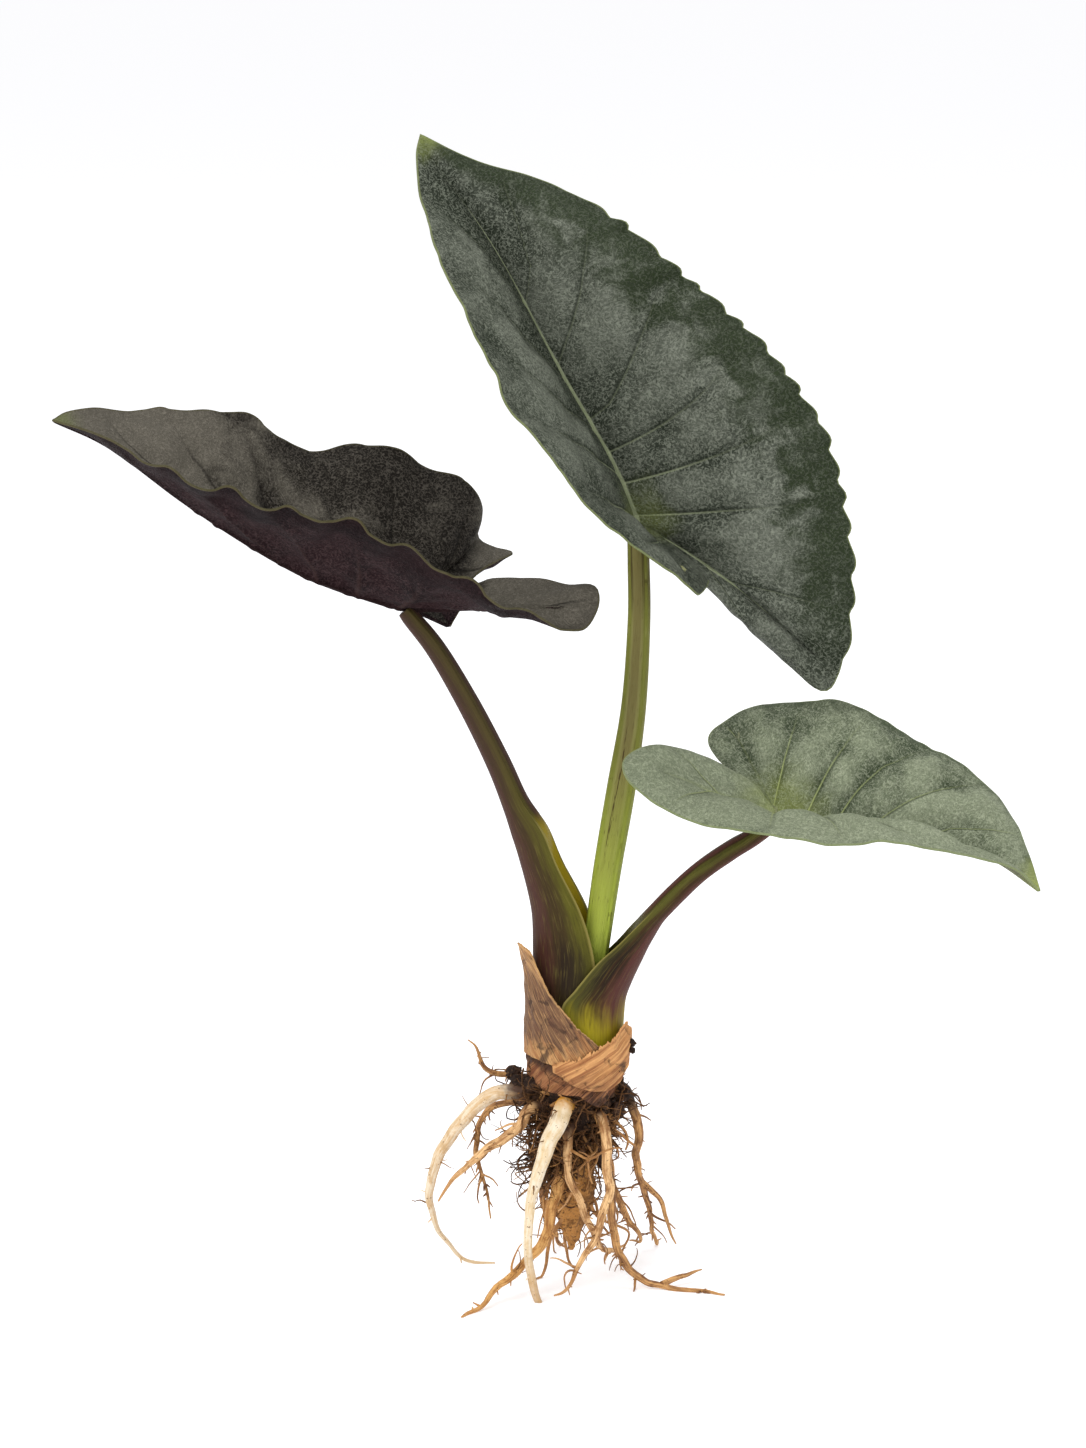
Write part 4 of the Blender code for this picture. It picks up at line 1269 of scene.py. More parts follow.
@dataclass
class Root:
    """A thick root with its branches and rootlets."""
    name: str
    stations: tuple
    finish: RootFinish
    branches: tuple = ()
    rootlets: int = 10
    knobs: float = 0.2
    wobble: float = 0.8
    taper: float = 0.6
    sides: int = 20
    branch_sides: int = 12
    branch_begin: float = 0.5       # how far down the root's colours a branch starts

    def build(self, rng: np.random.Generator) -> bpy.types.Object:
        """Makes the root.

        Args:
            rng: Source of chance for the rootlets.

        Returns:
            The finished piece.
        """
        phase = float(rng.uniform(0, 50))
        parts = [tube(self.name, self.stations, 0.7, self.sides, self.knobs, phase, self.wobble, self.taper)]
        for branch in self.branches:
            parts.append(tube(f"{self.name}_branch", branch, 0.6, self.branch_sides, self.knobs, phase + 9,
                              self.wobble, self.taper, self.branch_begin))
        parts.append(threads(f"{self.name}_rootlets", self._rootlets(rng), 1))
        root = unite(parts, f"{self.name}_skin")
        declare(root, [self.finish.material()], self.name)
        return root

    def _rootlets(self, rng: np.random.Generator) -> list[Points]:
        """Short side rootlets and stubs.

        Args:
            rng: Source of chance.

        Returns:
            Rows of x, y, z and radius for each.
        """
        rows = smooth(self.stations, 60)
        paths = []
        for i in range(self.rootlets * 2):
            row = int(rng.uniform(8, 56))
            along = unit(rows[min(row + 1, 59), :3] - rows[row - 1, :3])
            side = unit(np.cross(along, rng.normal(size=3)))
            stub = i % 2 == 0
            length = rng.uniform(0.8, 2.2) + rows[row, 3] if stub or i % 4 == 1 else rng.uniform(4, 10)
            thick = rng.uniform(0.25, 0.45)
            path = wander(rng, rows[row, :3], side + 0.5 * along, length, thick, 0.10, 0.16, 0.7)
            if path[:, 1].max() < BACK:
                paths.append(path)
        return paths


@dataclass
class Corm:
    """The corm with its buds and clinging crumbs."""
    profile: tuple
    drift: tuple
    lumps: tuple
    finish: BarkFinish
    sides: int = 96
    rings: int = 110

    def axis_at(self, height: float) -> tuple[float, float]:
        """Where the corm's middle is at a height."""
        down = max(0.0, (CORM_TOP - height) / CORM_TOP)
        return self.drift[0] * down ** 1.5, self.drift[1] * down ** 1.5

    def radius_at(self, height: float) -> float:
        """The corm's radius at a height."""
        heights, radii = (column[::-1] for column in zip(*self.profile))
        return float(np.interp(height, heights, radii))

    def build(self) -> bpy.types.Object:
        """Makes the corm.

        Returns:
            The finished piece.
        """
        turns = np.linspace(0, 2 * np.pi, self.sides + 1)
        heights = np.linspace(self.profile[0][0], self.profile[-1][0], self.rings)
        points = []
        for height in heights:
            x, y = self.axis_at(height)
            radius = self.radius_at(height)
            reach = []
            for a in turns[:-1]:
                knob = bumps(2.2 * math.cos(a), 2.2 * math.sin(a), height * 0.16)
                grit = noise.fractal(Vector((radius * math.cos(a), radius * math.sin(a), height)) * 0.45, 0.8, 2.1, 4)
                calm = min(1.0, max(0.3, (58.0 - height) / 6.0))
                reach.append(radius * (1 + 0.18 * calm * knob) + 0.7 * grit * calm)
            reach = np.array(reach + reach[:1])
            points.append(np.column_stack([x + reach * np.cos(turns), y + reach * np.sin(turns),
                                           np.full(self.sides + 1, height)]))
        body = sheet("corm_body", capped(np.array(points)), {})
        merge(body)
        parts = [body] + [self.lump(*lump, 5) for lump in self.lumps]
        corm = unite(parts, "corm_skin")
        declare(corm, [self.finish.material()], "corm")
        return corm

    @staticmethod
    def lump(x: float, y: float, z: float, radius: float, levels: int) -> bpy.types.Object:
        """A rough bud or crumb.

        Args:
            x: Place of its middle.
            y: The same.
            z: The same.
            radius: Its radius.
            levels: How often its faces are divided.

        Returns:
            The crumb.
        """
        deselect()
        centre = to_scene(np.array((x, y, z)))
        bpy.ops.mesh.primitive_ico_sphere_add(subdivisions=levels, radius=radius * MM, location=centre)
        lump = bpy.context.object
        bpy.ops.object.transform_apply(location=True, rotation=True, scale=True)
        for vert in lump.data.vertices:
            away = vert.co - Vector(centre)
            grit = noise.fractal(vert.co / MM * (0.9 / radius ** 0.5), 0.8, 2.1, 4)
            vert.co += away * 0.38 * grit
        return lump


class Tone(Enum):
    """Piece of the tangle that a tuft belongs to."""
    DARK = "fine_roots_dark"
    LIGHT = "fine_roots_light"
    GOLD = "fine_roots_gold"


@dataclass
class Tuft:
    """One kind of fine root: where it starts on the corm and how it grows."""
    tone: Tone
    count: int
    heights: tuple          # lowest and highest start
    turns: tuple            # first and last angle in degrees
    lengths: tuple
    radii: tuple
    pitch: tuple            # upward part of its first heading
    droop: float
    curl: float
    fork: float = 0.4       # chance of a side branch


@dataclass
class RootMat:
    """The tangle of fine roots and the clods round the corm."""
    corm: Corm
    finishes: tuple         # tone and finish
    soil: BarkFinish
    tufts: tuple
    clods: int = 110
    clod_heights: tuple = (42.0, 54.0)
    clod_radii: tuple = (0.5, 1.4)
    per_root: int = 9       # fine roots that grow from each thick one

    def build(self, rng: np.random.Generator, roots: Sequence[Root]) -> None:
        """Makes the tangle, a piece for each tone, and the clods.

        Args:
            rng: Source of chance.
            roots: The thick roots, from which some fine ones grow.
        """
        paths = {tone: [] for tone in Tone}
        for tuft in self.tufts:
            for _ in range(tuft.count):
                path = self._strand(rng, tuft)
                paths[tuft.tone].append(path)
                if rng.uniform() < tuft.fork:
                    *start, radius = path[int(rng.uniform(3, len(path) - 1))]
                    paths[tuft.tone].append(wander(rng, start, rng.normal(size=3), rng.uniform(3, 9), radius * 0.8,
                                                   tuft.droop, tuft.curl))
        for root in roots:
            rows = smooth(root.stations, 40)
            for _ in range(self.per_root):
                row = rows[int(rng.uniform(4, 26))]
                paths[Tone.LIGHT].append(wander(rng, row[:3], rng.normal(size=3), rng.uniform(3, 8), 0.26, 0.08, 0.3))
        for tone, finish in self.finishes:
            piece = threads(tone.value, paths[tone], int(tone is Tone.GOLD))
            declare(piece, [finish.material()], "corm", stands=False)
        declare(unite([self._clod(rng) for _ in range(self.clods)], "soil_clods"), [self.soil.material()], "corm",
                stands=False)

    def _strand(self, rng: np.random.Generator, tuft: Tuft) -> Points:
        """One fine root of a tuft.

        Args:
            rng: Source of chance.
            tuft: The kind of fine root.

        Returns:
            Rows of x, y, z and radius.
        """
        height = rng.uniform(*tuft.heights)
        a = math.radians(rng.uniform(*tuft.turns))
        out = np.array((math.cos(a), math.sin(a), 0.0))
        x, y = self.corm.axis_at(height)
        start = np.array((x, y, height)) + 0.85 * self.corm.radius_at(height) * out
        heading = out + np.array((0, 0, rng.uniform(*tuft.pitch))) + rng.normal(size=3) * 0.25
        return wander(rng, start, heading, rng.uniform(*tuft.lengths), rng.uniform(*tuft.radii), tuft.droop,
                      tuft.curl)

    def _clod(self, rng: np.random.Generator) -> bpy.types.Object:
        """A clod of soil on the upper part of the corm.

        Args:
            rng: Source of chance.

        Returns:
            The clod.
        """
        height = rng.uniform(*self.clod_heights)
        a = rng.uniform(0, 2 * np.pi)
        reach = self.corm.radius_at(height) + rng.uniform(-0.3, 0.9)
        x, y = self.corm.axis_at(height)
        radius = float(rng.uniform(*self.clod_radii))
        return Corm.lump(x + reach * math.cos(a), y + reach * math.sin(a), height, radius, 3)


@dataclass
class Studio:
    """Pale floor, soft light and the camera at the photograph's angle."""
    target: tuple = (-1.24, 4.54, 148.6)
    distance: float = 1500.0
    elevation: float = 10.0
    lens: float = 143.43
    floor_size: float = 60.0
    floor_colour: tuple = (0.8, 0.8, 0.82, 1.0)
    floor_glow: float = 0.33
    sky: float = 0.8
    lamps: tuple = (        # name, place, size and power
        ("key", (-0.9, -1.1, 1.5), 1.2, 22.0), ("fill", (1.3, -1.2, 0.9), 1.6, 6.0),
        ("top", (0.2, 0.4, 1.9), 1.4, 12.0))

    def build(self) -> None:
        """Makes the floor, the lights and the camera."""
        self._floor()
        for lamp in self.lamps:
            self._light(*lamp)
        world = bpy.data.worlds.new("studio")
        bpy.context.scene.world = world
        world.use_nodes = True
        background = world.node_tree.nodes["Background"]
        background.inputs["Color"].default_value = (1.0, 1.0, 1.0, 1.0)
        background.inputs["Strength"].default_value = self.sky
        bpy.context.scene.view_settings.view_transform = "Standard"
        self._camera()

    def _floor(self) -> None:
        """A wide pale floor."""
        deselect()
        bpy.ops.mesh.primitive_plane_add(size=self.floor_size)
        floor = bpy.context.object
        floor.name = "floor"
        material = bpy.data.materials.new("floor")
        material.use_nodes = True
        values = {"Base Color": self.floor_colour, "Roughness": 1.0, "Specular IOR Level": 0.0,
                  "Emission Color": (1.0, 1.0, 1.0, 1.0), "Emission Strength": self.floor_glow}
        for name, value in values.items():
            material.node_tree.nodes["Principled BSDF"].inputs[name].default_value = value
        floor.data.materials.append(material)

    def _light(self, name: str, place: tuple, size: float, power: float) -> None:
        """A square soft light that looks at the plant.

        Args:
            name: Its name.
            place: Where it hangs, in metres.
            size: Length of its side.
            power: Its power in watts.
        """
        deselect()
        bpy.ops.object.light_add(type="AREA", location=place)
        light = bpy.context.object
        light.name = name
        light.data.size = size
        light.data.energy = power
        aim = Vector(self.target) * MM - Vector(place)
        light.rotation_euler = aim.to_track_quat("-Z", "Y").to_euler()

    def _camera(self) -> None:
        """The camera."""
        deselect()
        tilt = math.radians(self.elevation)
        target = Vector(self.target) * MM
        back = Vector((0.0, -math.cos(tilt), math.sin(tilt))) * self.distance * MM
        bpy.ops.object.camera_add(location=target + back)
        camera = bpy.context.object
        camera.rotation_euler = (-back).to_track_quat("-Z", "Y").to_euler()
        camera.data.lens = self.lens
        camera.data.sensor_width = 36.0
        camera.data.clip_end = 50.0
        bpy.context.scene.camera = camera


CENTRE_UPPER = BladeFinish(
    "centre_upper", *palette("5d6156 1b2216 8a8f80 1c280a 747c50 a2aa88 808a4c 181f12"), fold_shade=0.55,
    edge_width=18.0, margin=0.92, shift=-0.04)
CENTRE_UNDER = BladeFinish(
    "centre_under", *palette("5c5450 33292a 857a74 40332f 6e6a46 8a8c62 7c8050 6c6a50"), grain=0.7, vein_light=0.5)
LEFT_UPPER = BladeFinish(
    "left_upper", *palette("58544b 191612 7e786e 14120f 4c4832 2e2b20 646a40 080706"), hub_reach=5.0, shift=-0.38,
    tip_sheen=0.85, lobe_lit=0.95, basal=0.3, gloss=0.04, grain=0.55, edge_width=3.0)
LEFT_UNDER = BladeFinish(
    "left_under", *palette("251719 10080a 5c4a4a 180e0f 5a5238 241818 201a16 392927"), hub_reach=5.0, grain=0.6,
    basal=0.3, gloss=0.02)
RIGHT_UPPER = BladeFinish(
    "right_upper", *palette("7b836a 2f3a24 abb198 465234 7c865a 9ca66e a2ac58 2c3620"), grain=0.8, edge_width=3.0,
    second=0.42, basal=0.15, hub_reach=17.0, tip_sheen=0.1, vein_light=0.4, shift=-0.1)
RIGHT_UNDER = BladeFinish(
    "right_under", *palette("7a7c66 505642 9a9c84 5c634a 80895c 8a8e66 8c9458 7c8062"), grain=0.6, basal=0.3,
    vein_light=0.5)

BLADES = (
    Blade(
        "centre", upward=(-0.35, -1.0, 0.35), upper=CENTRE_UPPER, under=CENTRE_UNDER,
        midrib=((-40.9, 30.0, 299.4), (-35.9, 28.0, 290.7), (-20.8, 23.0, 268.8), (-4.7, 16.0, 239.2),
                (9.1, 11.0, 215.3), (15.6, 8.0, 200.0)),
        sinus=(34.3, 5.0, 186.2),
        halves=(
            Half(((-25.8, 27.0, 292.4), (-12.2, 24.0, 288.5), (0.8, 20.5, 284.0),
                  (13.1, 15.0, 276.8), (24.0, 11.0, 267.8), (35.5, 8.0, 258.3), (48.0, 4.5, 247.3),
                  (57.4, 2.5, 235.6), (64.1, 0.5, 224.9), (68.3, -1.0, 211.1), (70.9, -2.5, 196.0),
                  (71.6, -3.0, 181.7), (70.1, -3.0, 168.6), (67.6, -3.0, 161.8), (63.7, -3.0, 158.1),
                  (57.8, -1.5, 161.4), (50.1, 1.0, 167.4), (43.4, 3.0, 176.0)),
                 rib_end=(57.8, 0.0, 170.0), stops=(0.66, 0.805, 0.97), lift=(-0.6, -3.6, 0.8),
                 wave=(0.1, -1.0, 0.2), ruffle=0.9, scallop=1.5, bow=(0.0, -0.5, 2.5), slant=0.2,
                 notches=(0.17, 0.225, 0.25, 0.295, 0.325, 0.35, 0.385, 0.41, 0.445, 0.475, 0.50, 0.535, 0.565, 0.60,
                          0.625, 0.66, 0.70, 0.74, 0.79, 0.84, 0.91),
                 veins=(0.10, 0.20, 0.31, 0.42, 0.52, 0.62, 0.74, 0.9)),
            Half(((-41.9, 26.0, 293.7), (-40.4, 16.0, 283.7), (-35.2, -2.0, 270.6),
                  (-31.0, -11.0, 261.2), (-23.8, -22.0, 247.9), (-17.7, -29.0, 235.7), (-9.6, -34.5, 226.3),
                  (-2.8, -37.0, 217.0), (6.0, -38.0, 208.0), (15.6, -37.0, 200.2), (21.7, -34.5, 194.7),
                  (27.5, -29.0, 189.3), (30.9, -23.0, 186.1), (33.1, -10.0, 185.9)),
                 rib_end=(27.5, -19.0, 191.5), stops=(0.62, 0.833, 0.95), lift=(0.8, 0.4, 0.5),
                 wave=(0.8, 0.1, 0.5), ruffle=0.35, scallop=0.45,
                 notches=(0.14, 0.22, 0.30, 0.37, 0.44, 0.51, 0.58, 0.65, 0.72, 0.79, 0.86),
                 veins=(0.12, 0.24, 0.36, 0.48, 0.6, 0.72, 0.84)),
        )),
    Blade(
        "left", upward=(0.3, 0.0, 1.0), upper=LEFT_UPPER, under=LEFT_UNDER, rib_radius=0.9,
        midrib=((-134.6, -8.0, 229.1), (-119.9, -8.0, 222.1), (-102.1, -8.0, 208.9), (-86.8, -7.0, 198.4),
                (-69.4, -6.0, 188.4), (-51.9, -5.0, 182.0), (-42.7, -5.0, 179.8)),
        sinus=(-33.0, 3.0, 173.7),
        halves=(
            Half(((-127.0, -14.0, 227.5), (-116.3, -22.0, 224.2), (-103.2, -29.0, 218.9),
                  (-85.3, -34.0, 213.3), (-68.0, -37.0, 208.6), (-52.4, -38.0, 204.7), (-37.3, -38.0, 196.3),
                  (-24.7, -38.0, 189.4), (-14.6, -37.0, 184.4), (-6.6, -35.0, 179.0), (0.6, -31.0, 178.3),
                  (3.8, -28.0, 180.8), (5.4, -24.5, 185.4), (3.8, -20.0, 188.2), (-4.5, -14.0, 187.3),
                  (-16.8, -8.0, 188.2), (-25.6, -4.0, 186.3)),
                 rib_end=(-4.0, -26.0, 183.5), stops=(0.54, 0.726, 0.94), lift=(0.0, 3.2, -2.6), tail=0.0,
                 wave=(0.0, 0.4, 0.9), ruffle=1.5, scallop=1.2,
                 notches=(0.12, 0.16, 0.195, 0.235, 0.27, 0.31, 0.34, 0.38, 0.42, 0.45, 0.49, 0.53, 0.57, 0.61, 0.67,
                          0.80, 0.87),
                 veins=(0.1, 0.2, 0.3, 0.4, 0.5, 0.62, 0.75, 0.9)),
            Half(((-130.0, -2.0, 230.7), (-117.4, 9.0, 229.9), (-108.4, 13.5, 230.1),
                  (-100.8, 17.0, 227.3), (-90.6, 21.0, 228.4), (-83.9, 23.5, 225.8), (-77.8, 25.5, 219.2),
                  (-69.5, 27.0, 217.2), (-56.7, 30.0, 218.1), (-47.8, 31.0, 216.1), (-37.0, 31.5, 211.0),
                  (-29.1, 31.5, 208.9), (-24.9, 31.0, 201.0), (-26.0, 30.0, 193.9), (-22.0, 29.0, 191.1),
                  (-17.0, 28.0, 189.7), (-21.4, 20.0, 188.2), (-27.9, 10.0, 184.4)),
                 rib_end=(-29.0, 22.0, 192.0), stops=(0.62, 0.74, 0.95), lift=(0.0, -3.0, -2.6),
                 wave=(0.0, -0.8, 0.5), ruffle=1.6, scallop=1.0,
                 notches=(0.13, 0.20, 0.28, 0.35, 0.43, 0.51, 0.59, 0.66, 0.73, 0.85),
                 veins=(0.1, 0.2, 0.31, 0.43, 0.55, 0.68, 0.82)),
        )),
    Blade(
        "right", upward=(0.0, -0.3, 1.0), upper=RIGHT_UPPER, under=RIGHT_UNDER, quilt=1.9, buckle=1.6,
        midrib=((119.3, -20.0, 108.4), (107.9, -19.0, 116.4), (93.5, -18.0, 121.9), (78.3, -17.0, 125.4),
                (61.8, -16.0, 126.3), (51.8, -16.0, 127.1)),
        sinus=(43.2, -10.0, 134.9),
        halves=(
            Half(((116.6, -14.0, 116.4), (110.5, -4.0, 129.0), (100.2, 3.0, 136.9),
                  (86.5, 7.0, 145.4), (71.2, 9.0, 151.3), (58.9, 9.0, 153.4), (47.3, 8.0, 152.2),
                  (38.4, 6.0, 147.7), (34.5, 4.0, 143.7), (37.2, -2.0, 139.7)),
                 rib_end=(41.5, 0.5, 145.4), stops=(0.63, 0.805, 0.96), lift=(0.0, -1.2, 2.4),
                 wave=(0.0, -0.6, 0.8), ruffle=0.9, scallop=0.5,
                 notches=(0.15, 0.26, 0.38, 0.50, 0.62, 0.74, 0.86), veins=(0.12, 0.25, 0.38, 0.51, 0.65, 0.82)),
            Half(((112.5, -26.0, 114.9), (99.8, -34.0, 120.9), (87.4, -40.0, 124.2),
                  (72.4, -44.0, 125.8), (57.4, -45.0, 127.3), (42.5, -44.0, 128.1), (27.9, -42.0, 132.1),
                  (15.3, -37.0, 137.3), (11.3, -32.0, 143.4), (17.5, -26.0, 147.4), (26.1, -20.0, 146.1),
                  (36.0, -14.0, 141.4)),
                 rib_end=(22.5, -29.5, 140.8), stops=(0.48, 0.745, 0.95), lift=(0.0, 0.0, 2.2),
                 wave=(0.0, 0.0, 1.0), ruffle=0.9, scallop=0.5,
                 notches=(0.13, 0.24, 0.35, 0.46, 0.57, 0.68, 0.80), veins=(0.12, 0.24, 0.36, 0.48, 0.64, 0.84)),
        )),
)

STALKS = (
    Stalk(
        "centre", outward=(0.2, 1.0, 0.0),
        finish=StalkFinish("stalk_centre", *palette("6e663a 7c7844 6e7030 38280f a8b842 9c9c62 7f8a34"),
                           blotch_height=190.0, blotch_reach=20.0, foot_low=72.0, foot_high=150.0, marks=0.85),
        stations=((0.6, 0.8, 60.3, 4.0, 4.0, 125, 2.5, 1.0), (2.6, 0.8, 74.0, 3.8, 3.8, 125, 2.5, 1.0),
                  (5.2, 0.5, 90.5, 3.5, 3.5, 125, 2.5, 1.0), (8.0, 1.6, 110.0, 3.7, 3.7, 125, 2.5, 1.0),
                  (11.6, 3.8, 131.0, 3.8, 3.8, 125, 2.5, 1.0), (14.8, 6.2, 152.0, 3.3, 3.3, 125, 2.5, 1.0),
                  (16.2, 9.6, 174.0, 3.0, 3.0, 125, 2.5, 1.0), (16.1, 12.2, 189.0, 2.9, 2.9, 125, 2.5, 1.0),
                  (15.8, 11.8, 197.0, 2.5, 2.7, 125, 2.5, 1.0), (15.6, 9.6, 199.4, 2.0, 2.2, 125, 2.0, 1.0))),
    Stalk(
        "left", outward=(-1.0, 0.15, 0.0), level=(110.0, 134.0),
        finish=StalkFinish("stalk_left", *palette("452a22 382b12 514e14 1f130b 6a6c22 7a7038 93800e"),
                           blotch_height=84.0, blotch_reach=13.0, foot_low=60.0, foot_high=76.0,
                           crown=rgb("3c2a22"), crown_share=0.6),
        stations=((-1.0, 0.4, 60.3, 9.6, 8.6, 116, 3.2, 0.0), (-0.8, 0.4, 70.0, 10.2, 8.2, 118, 3.3, 0.0),
                  (-0.8, 0.2, 79.5, 10.6, 7.5, 125, 3.4, 0.0), (-0.9, 0.2, 87.0, 10.7, 6.5, 126, 3.5, 0.05),
                  (-2.6, 0.1, 99.0, 9.4, 5.8, 120, 3.8, 0.2), (-7.7, -0.4, 112.0, 7.2, 4.9, 117, 3.8, 0.5),
                  (-10.8, -0.9, 120.0, 6.3, 4.3, 118, 3.4, 0.75), (-15.6, -1.6, 128.0, 4.0, 3.7, 125, 3.0, 1.0),
                  (-20.3, -2.6, 139.2, 3.5, 3.5, 125, 2.5, 1.0), (-27.7, -4.0, 154.3, 3.2, 3.2, 125, 2.5, 1.0),
                  (-36.0, -5.0, 168.8, 2.9, 2.9, 125, 2.5, 1.0), (-42.6, -5.0, 177.3, 2.6, 2.6, 125, 2.5, 1.0),
                  (-44.4, -5.0, 179.4, 2.2, 2.2, 125, 2.0, 1.0))),
    Stalk(
        "right", outward=(1.0, 0.12, -0.3), level=(97.0, 115.0), roll=-14.0,
        finish=StalkFinish("stalk_right", *palette("4e2a24 38240f 4c4a18 1c110a a89a18 7a7038 4a4622"),
                           blotch_height=86.0, blotch_reach=13.0, foot_low=63.0, foot_high=78.0),
        stations=((0.8, 0.3, 60.3, 10.9, 10.9, 106, 1.5, 0.0), (0.7, 0.3, 68.0, 11.6, 10.7, 106, 1.5, 0.0),
                  (0.9, 0.3, 75.0, 12.0, 10.1, 106, 1.5, 0.0), (3.7, 0.2, 79.5, 10.6, 9.4, 106, 1.6, 0.0),
                  (8.8, -0.6, 86.5, 8.6, 7.6, 106, 2.0, 0.0), (13.7, -2.0, 92.0, 6.3, 5.4, 108, 2.6, 0.3),
                  (20.3, -4.6, 99.4, 4.0, 3.8, 120, 2.5, 0.85), (30.4, -8.8, 110.2, 2.9, 2.9, 125, 2.5, 1.0),
                  (39.2, -12.4, 117.4, 2.7, 2.7, 125, 2.5, 1.0), (44.8, -14.4, 121.2, 2.5, 2.5, 125, 2.5, 1.0),
                  (49.2, -15.5, 124.6, 2.3, 2.3, 125, 2.5, 1.0), (51.4, -15.9, 126.6, 2.0, 2.0, 125, 2.0, 1.0))),
)

SHEATHS = (
    DrySheath("sheath_left", flare=1.6, rows=(
        (118, 59.5, 64.0, 13.1), (140, 59.5, 69.0, 13.1), (160, 60.0, 76.0, 13.2), (172, 61.0, 84.0, 13.3),
        (178, 61.3, 89.0, 13.4), (190, 61.5, 91.0, 13.4), (204, 61.5, 91.4, 13.3), (216, 61.3, 90.2, 13.2),
        (221, 61.0, 86.0, 13.1), (227, 60.5, 82.6, 13.0), (236, 60.5, 79.4, 13.0), (254, 59.8, 75.0, 13.0),
        (273, 59.5, 70.0, 13.0), (292, 59.5, 66.2, 13.0), (303, 59.5, 63.0, 13.0)),
        finish=DryFinish("dry_left", *palette("9a6a40 cc9e66 573a2c 2e1a10"), 62.5, 67.5, 0.42)),
    DrySheath("sheath_right", flare=0.6, fray=1.4, folds=0.55, rows=(
        (243, 58.6, 60.6, 14.0), (254, 57.2, 61.4, 13.9), (265, 55.6, 62.0, 13.9), (277, 54.4, 62.8, 13.9),
        (290, 53.6, 64.6, 13.9), (306, 53.6, 66.4, 13.9), (321, 55.2, 68.2, 14.0), (334, 58.4, 70.8, 14.1),
        (350, 60.0, 68.0, 14.0), (372, 60.4, 66.6, 13.9), (396, 60.4, 65.0, 13.9), (416, 60.6, 63.0, 13.9)),
        finish=DryFinish("dry_right", *palette("a0653a d8a066 70452c 33200f"), 62.0, 50.0, -1.2,
                         contrast=0.35)),
    DrySheath("sheath_low", flare=0.0, fray=1.2, folds=0.8, rows=(
        (160, 57.2, 61.0, 12.5), (180, 56.4, 61.4, 12.4), (205, 54.6, 61.2, 12.0), (232, 52.6, 60.2, 12.0),
        (255, 52.4, 59.2, 12.0), (272, 52.4, 58.8, 12.0), (286, 50.0, 58.8, 12.0), (300, 48.6, 58.8, 12.0),
        (316, 50.2, 58.8, 12.0), (334, 53.4, 58.8, 12.0), (352, 55.8, 58.8, 12.0), (370, 56.6, 58.8, 12.0)),
        finish=DryFinish("dry_low", *palette("774529 a8744a 3f261a 26150c"), 55.0, 48.0, -0.8,
                         tuck_shade=0.8)),
)

CORM = Corm(
    profile=((62.4, 10.6), (60.0, 11.3), (57.5, 11.2), (54.0, 10.9), (50.0, 10.2), (46.0, 8.8), (41.0, 6.6),
             (36.0, 5.0), (31.0, 5.3), (26.0, 5.6), (20.5, 5.2), (16.0, 4.0), (12.0, 2.5), (8.6, 1.2), (7.0, 0.5)),
    drift=(-1.6, 2.4),
    lumps=((-11.6, -4.4, 53.6, 2.0), (-15.8, -2.4, 53.4, 1.8), (-13.6, -4.0, 49.6, 1.7), (12.4, -3.6, 50.6, 1.9),
           (-12.8, -0.4, 52.2, 3.6), (-16.6, 0.8, 55.3, 2.0), (9.8, -2.2, 46.4, 2.8), (-5.6, 4.6, 33.0, 2.6),
           (1.8, 1.6, 25.4, 2.3), (-4.6, 1.2, 19.6, 2.0), (14.0, -3.2, 64.4, 1.3), (14.4, -4.0, 62.6, 0.9)),
    finish=BarkFinish("bark", *palette("22150e 432c1e 6b4e36"), old=rgb("bc8648"), old_high=37.0,
                      old_low=28.0))

PALE = RootFinish("root_pale", *palette("e6d8c0 d6bc92 6f4d2e b48a58 c98a24"), 0.17, 0.12)
CREAM = RootFinish("root_cream", *palette("e2d2b8 cba97c 5f4128 dcc096 4a3223"), 0.17, 0.15)
TAN = RootFinish("root_tan", *palette("e6bc86 9c6c3e 4a2f1c c08c54 4a3020"), 0.17)
BROWN = RootFinish("root_brown", *palette("d09e62 7c5230 3c2416 c08e54 2e1e14"), 0.24)
GOLD = RootFinish("root_gold", *palette("dcaa66 a06a34 4a2f1c c08c54 a87238"), 0.1)

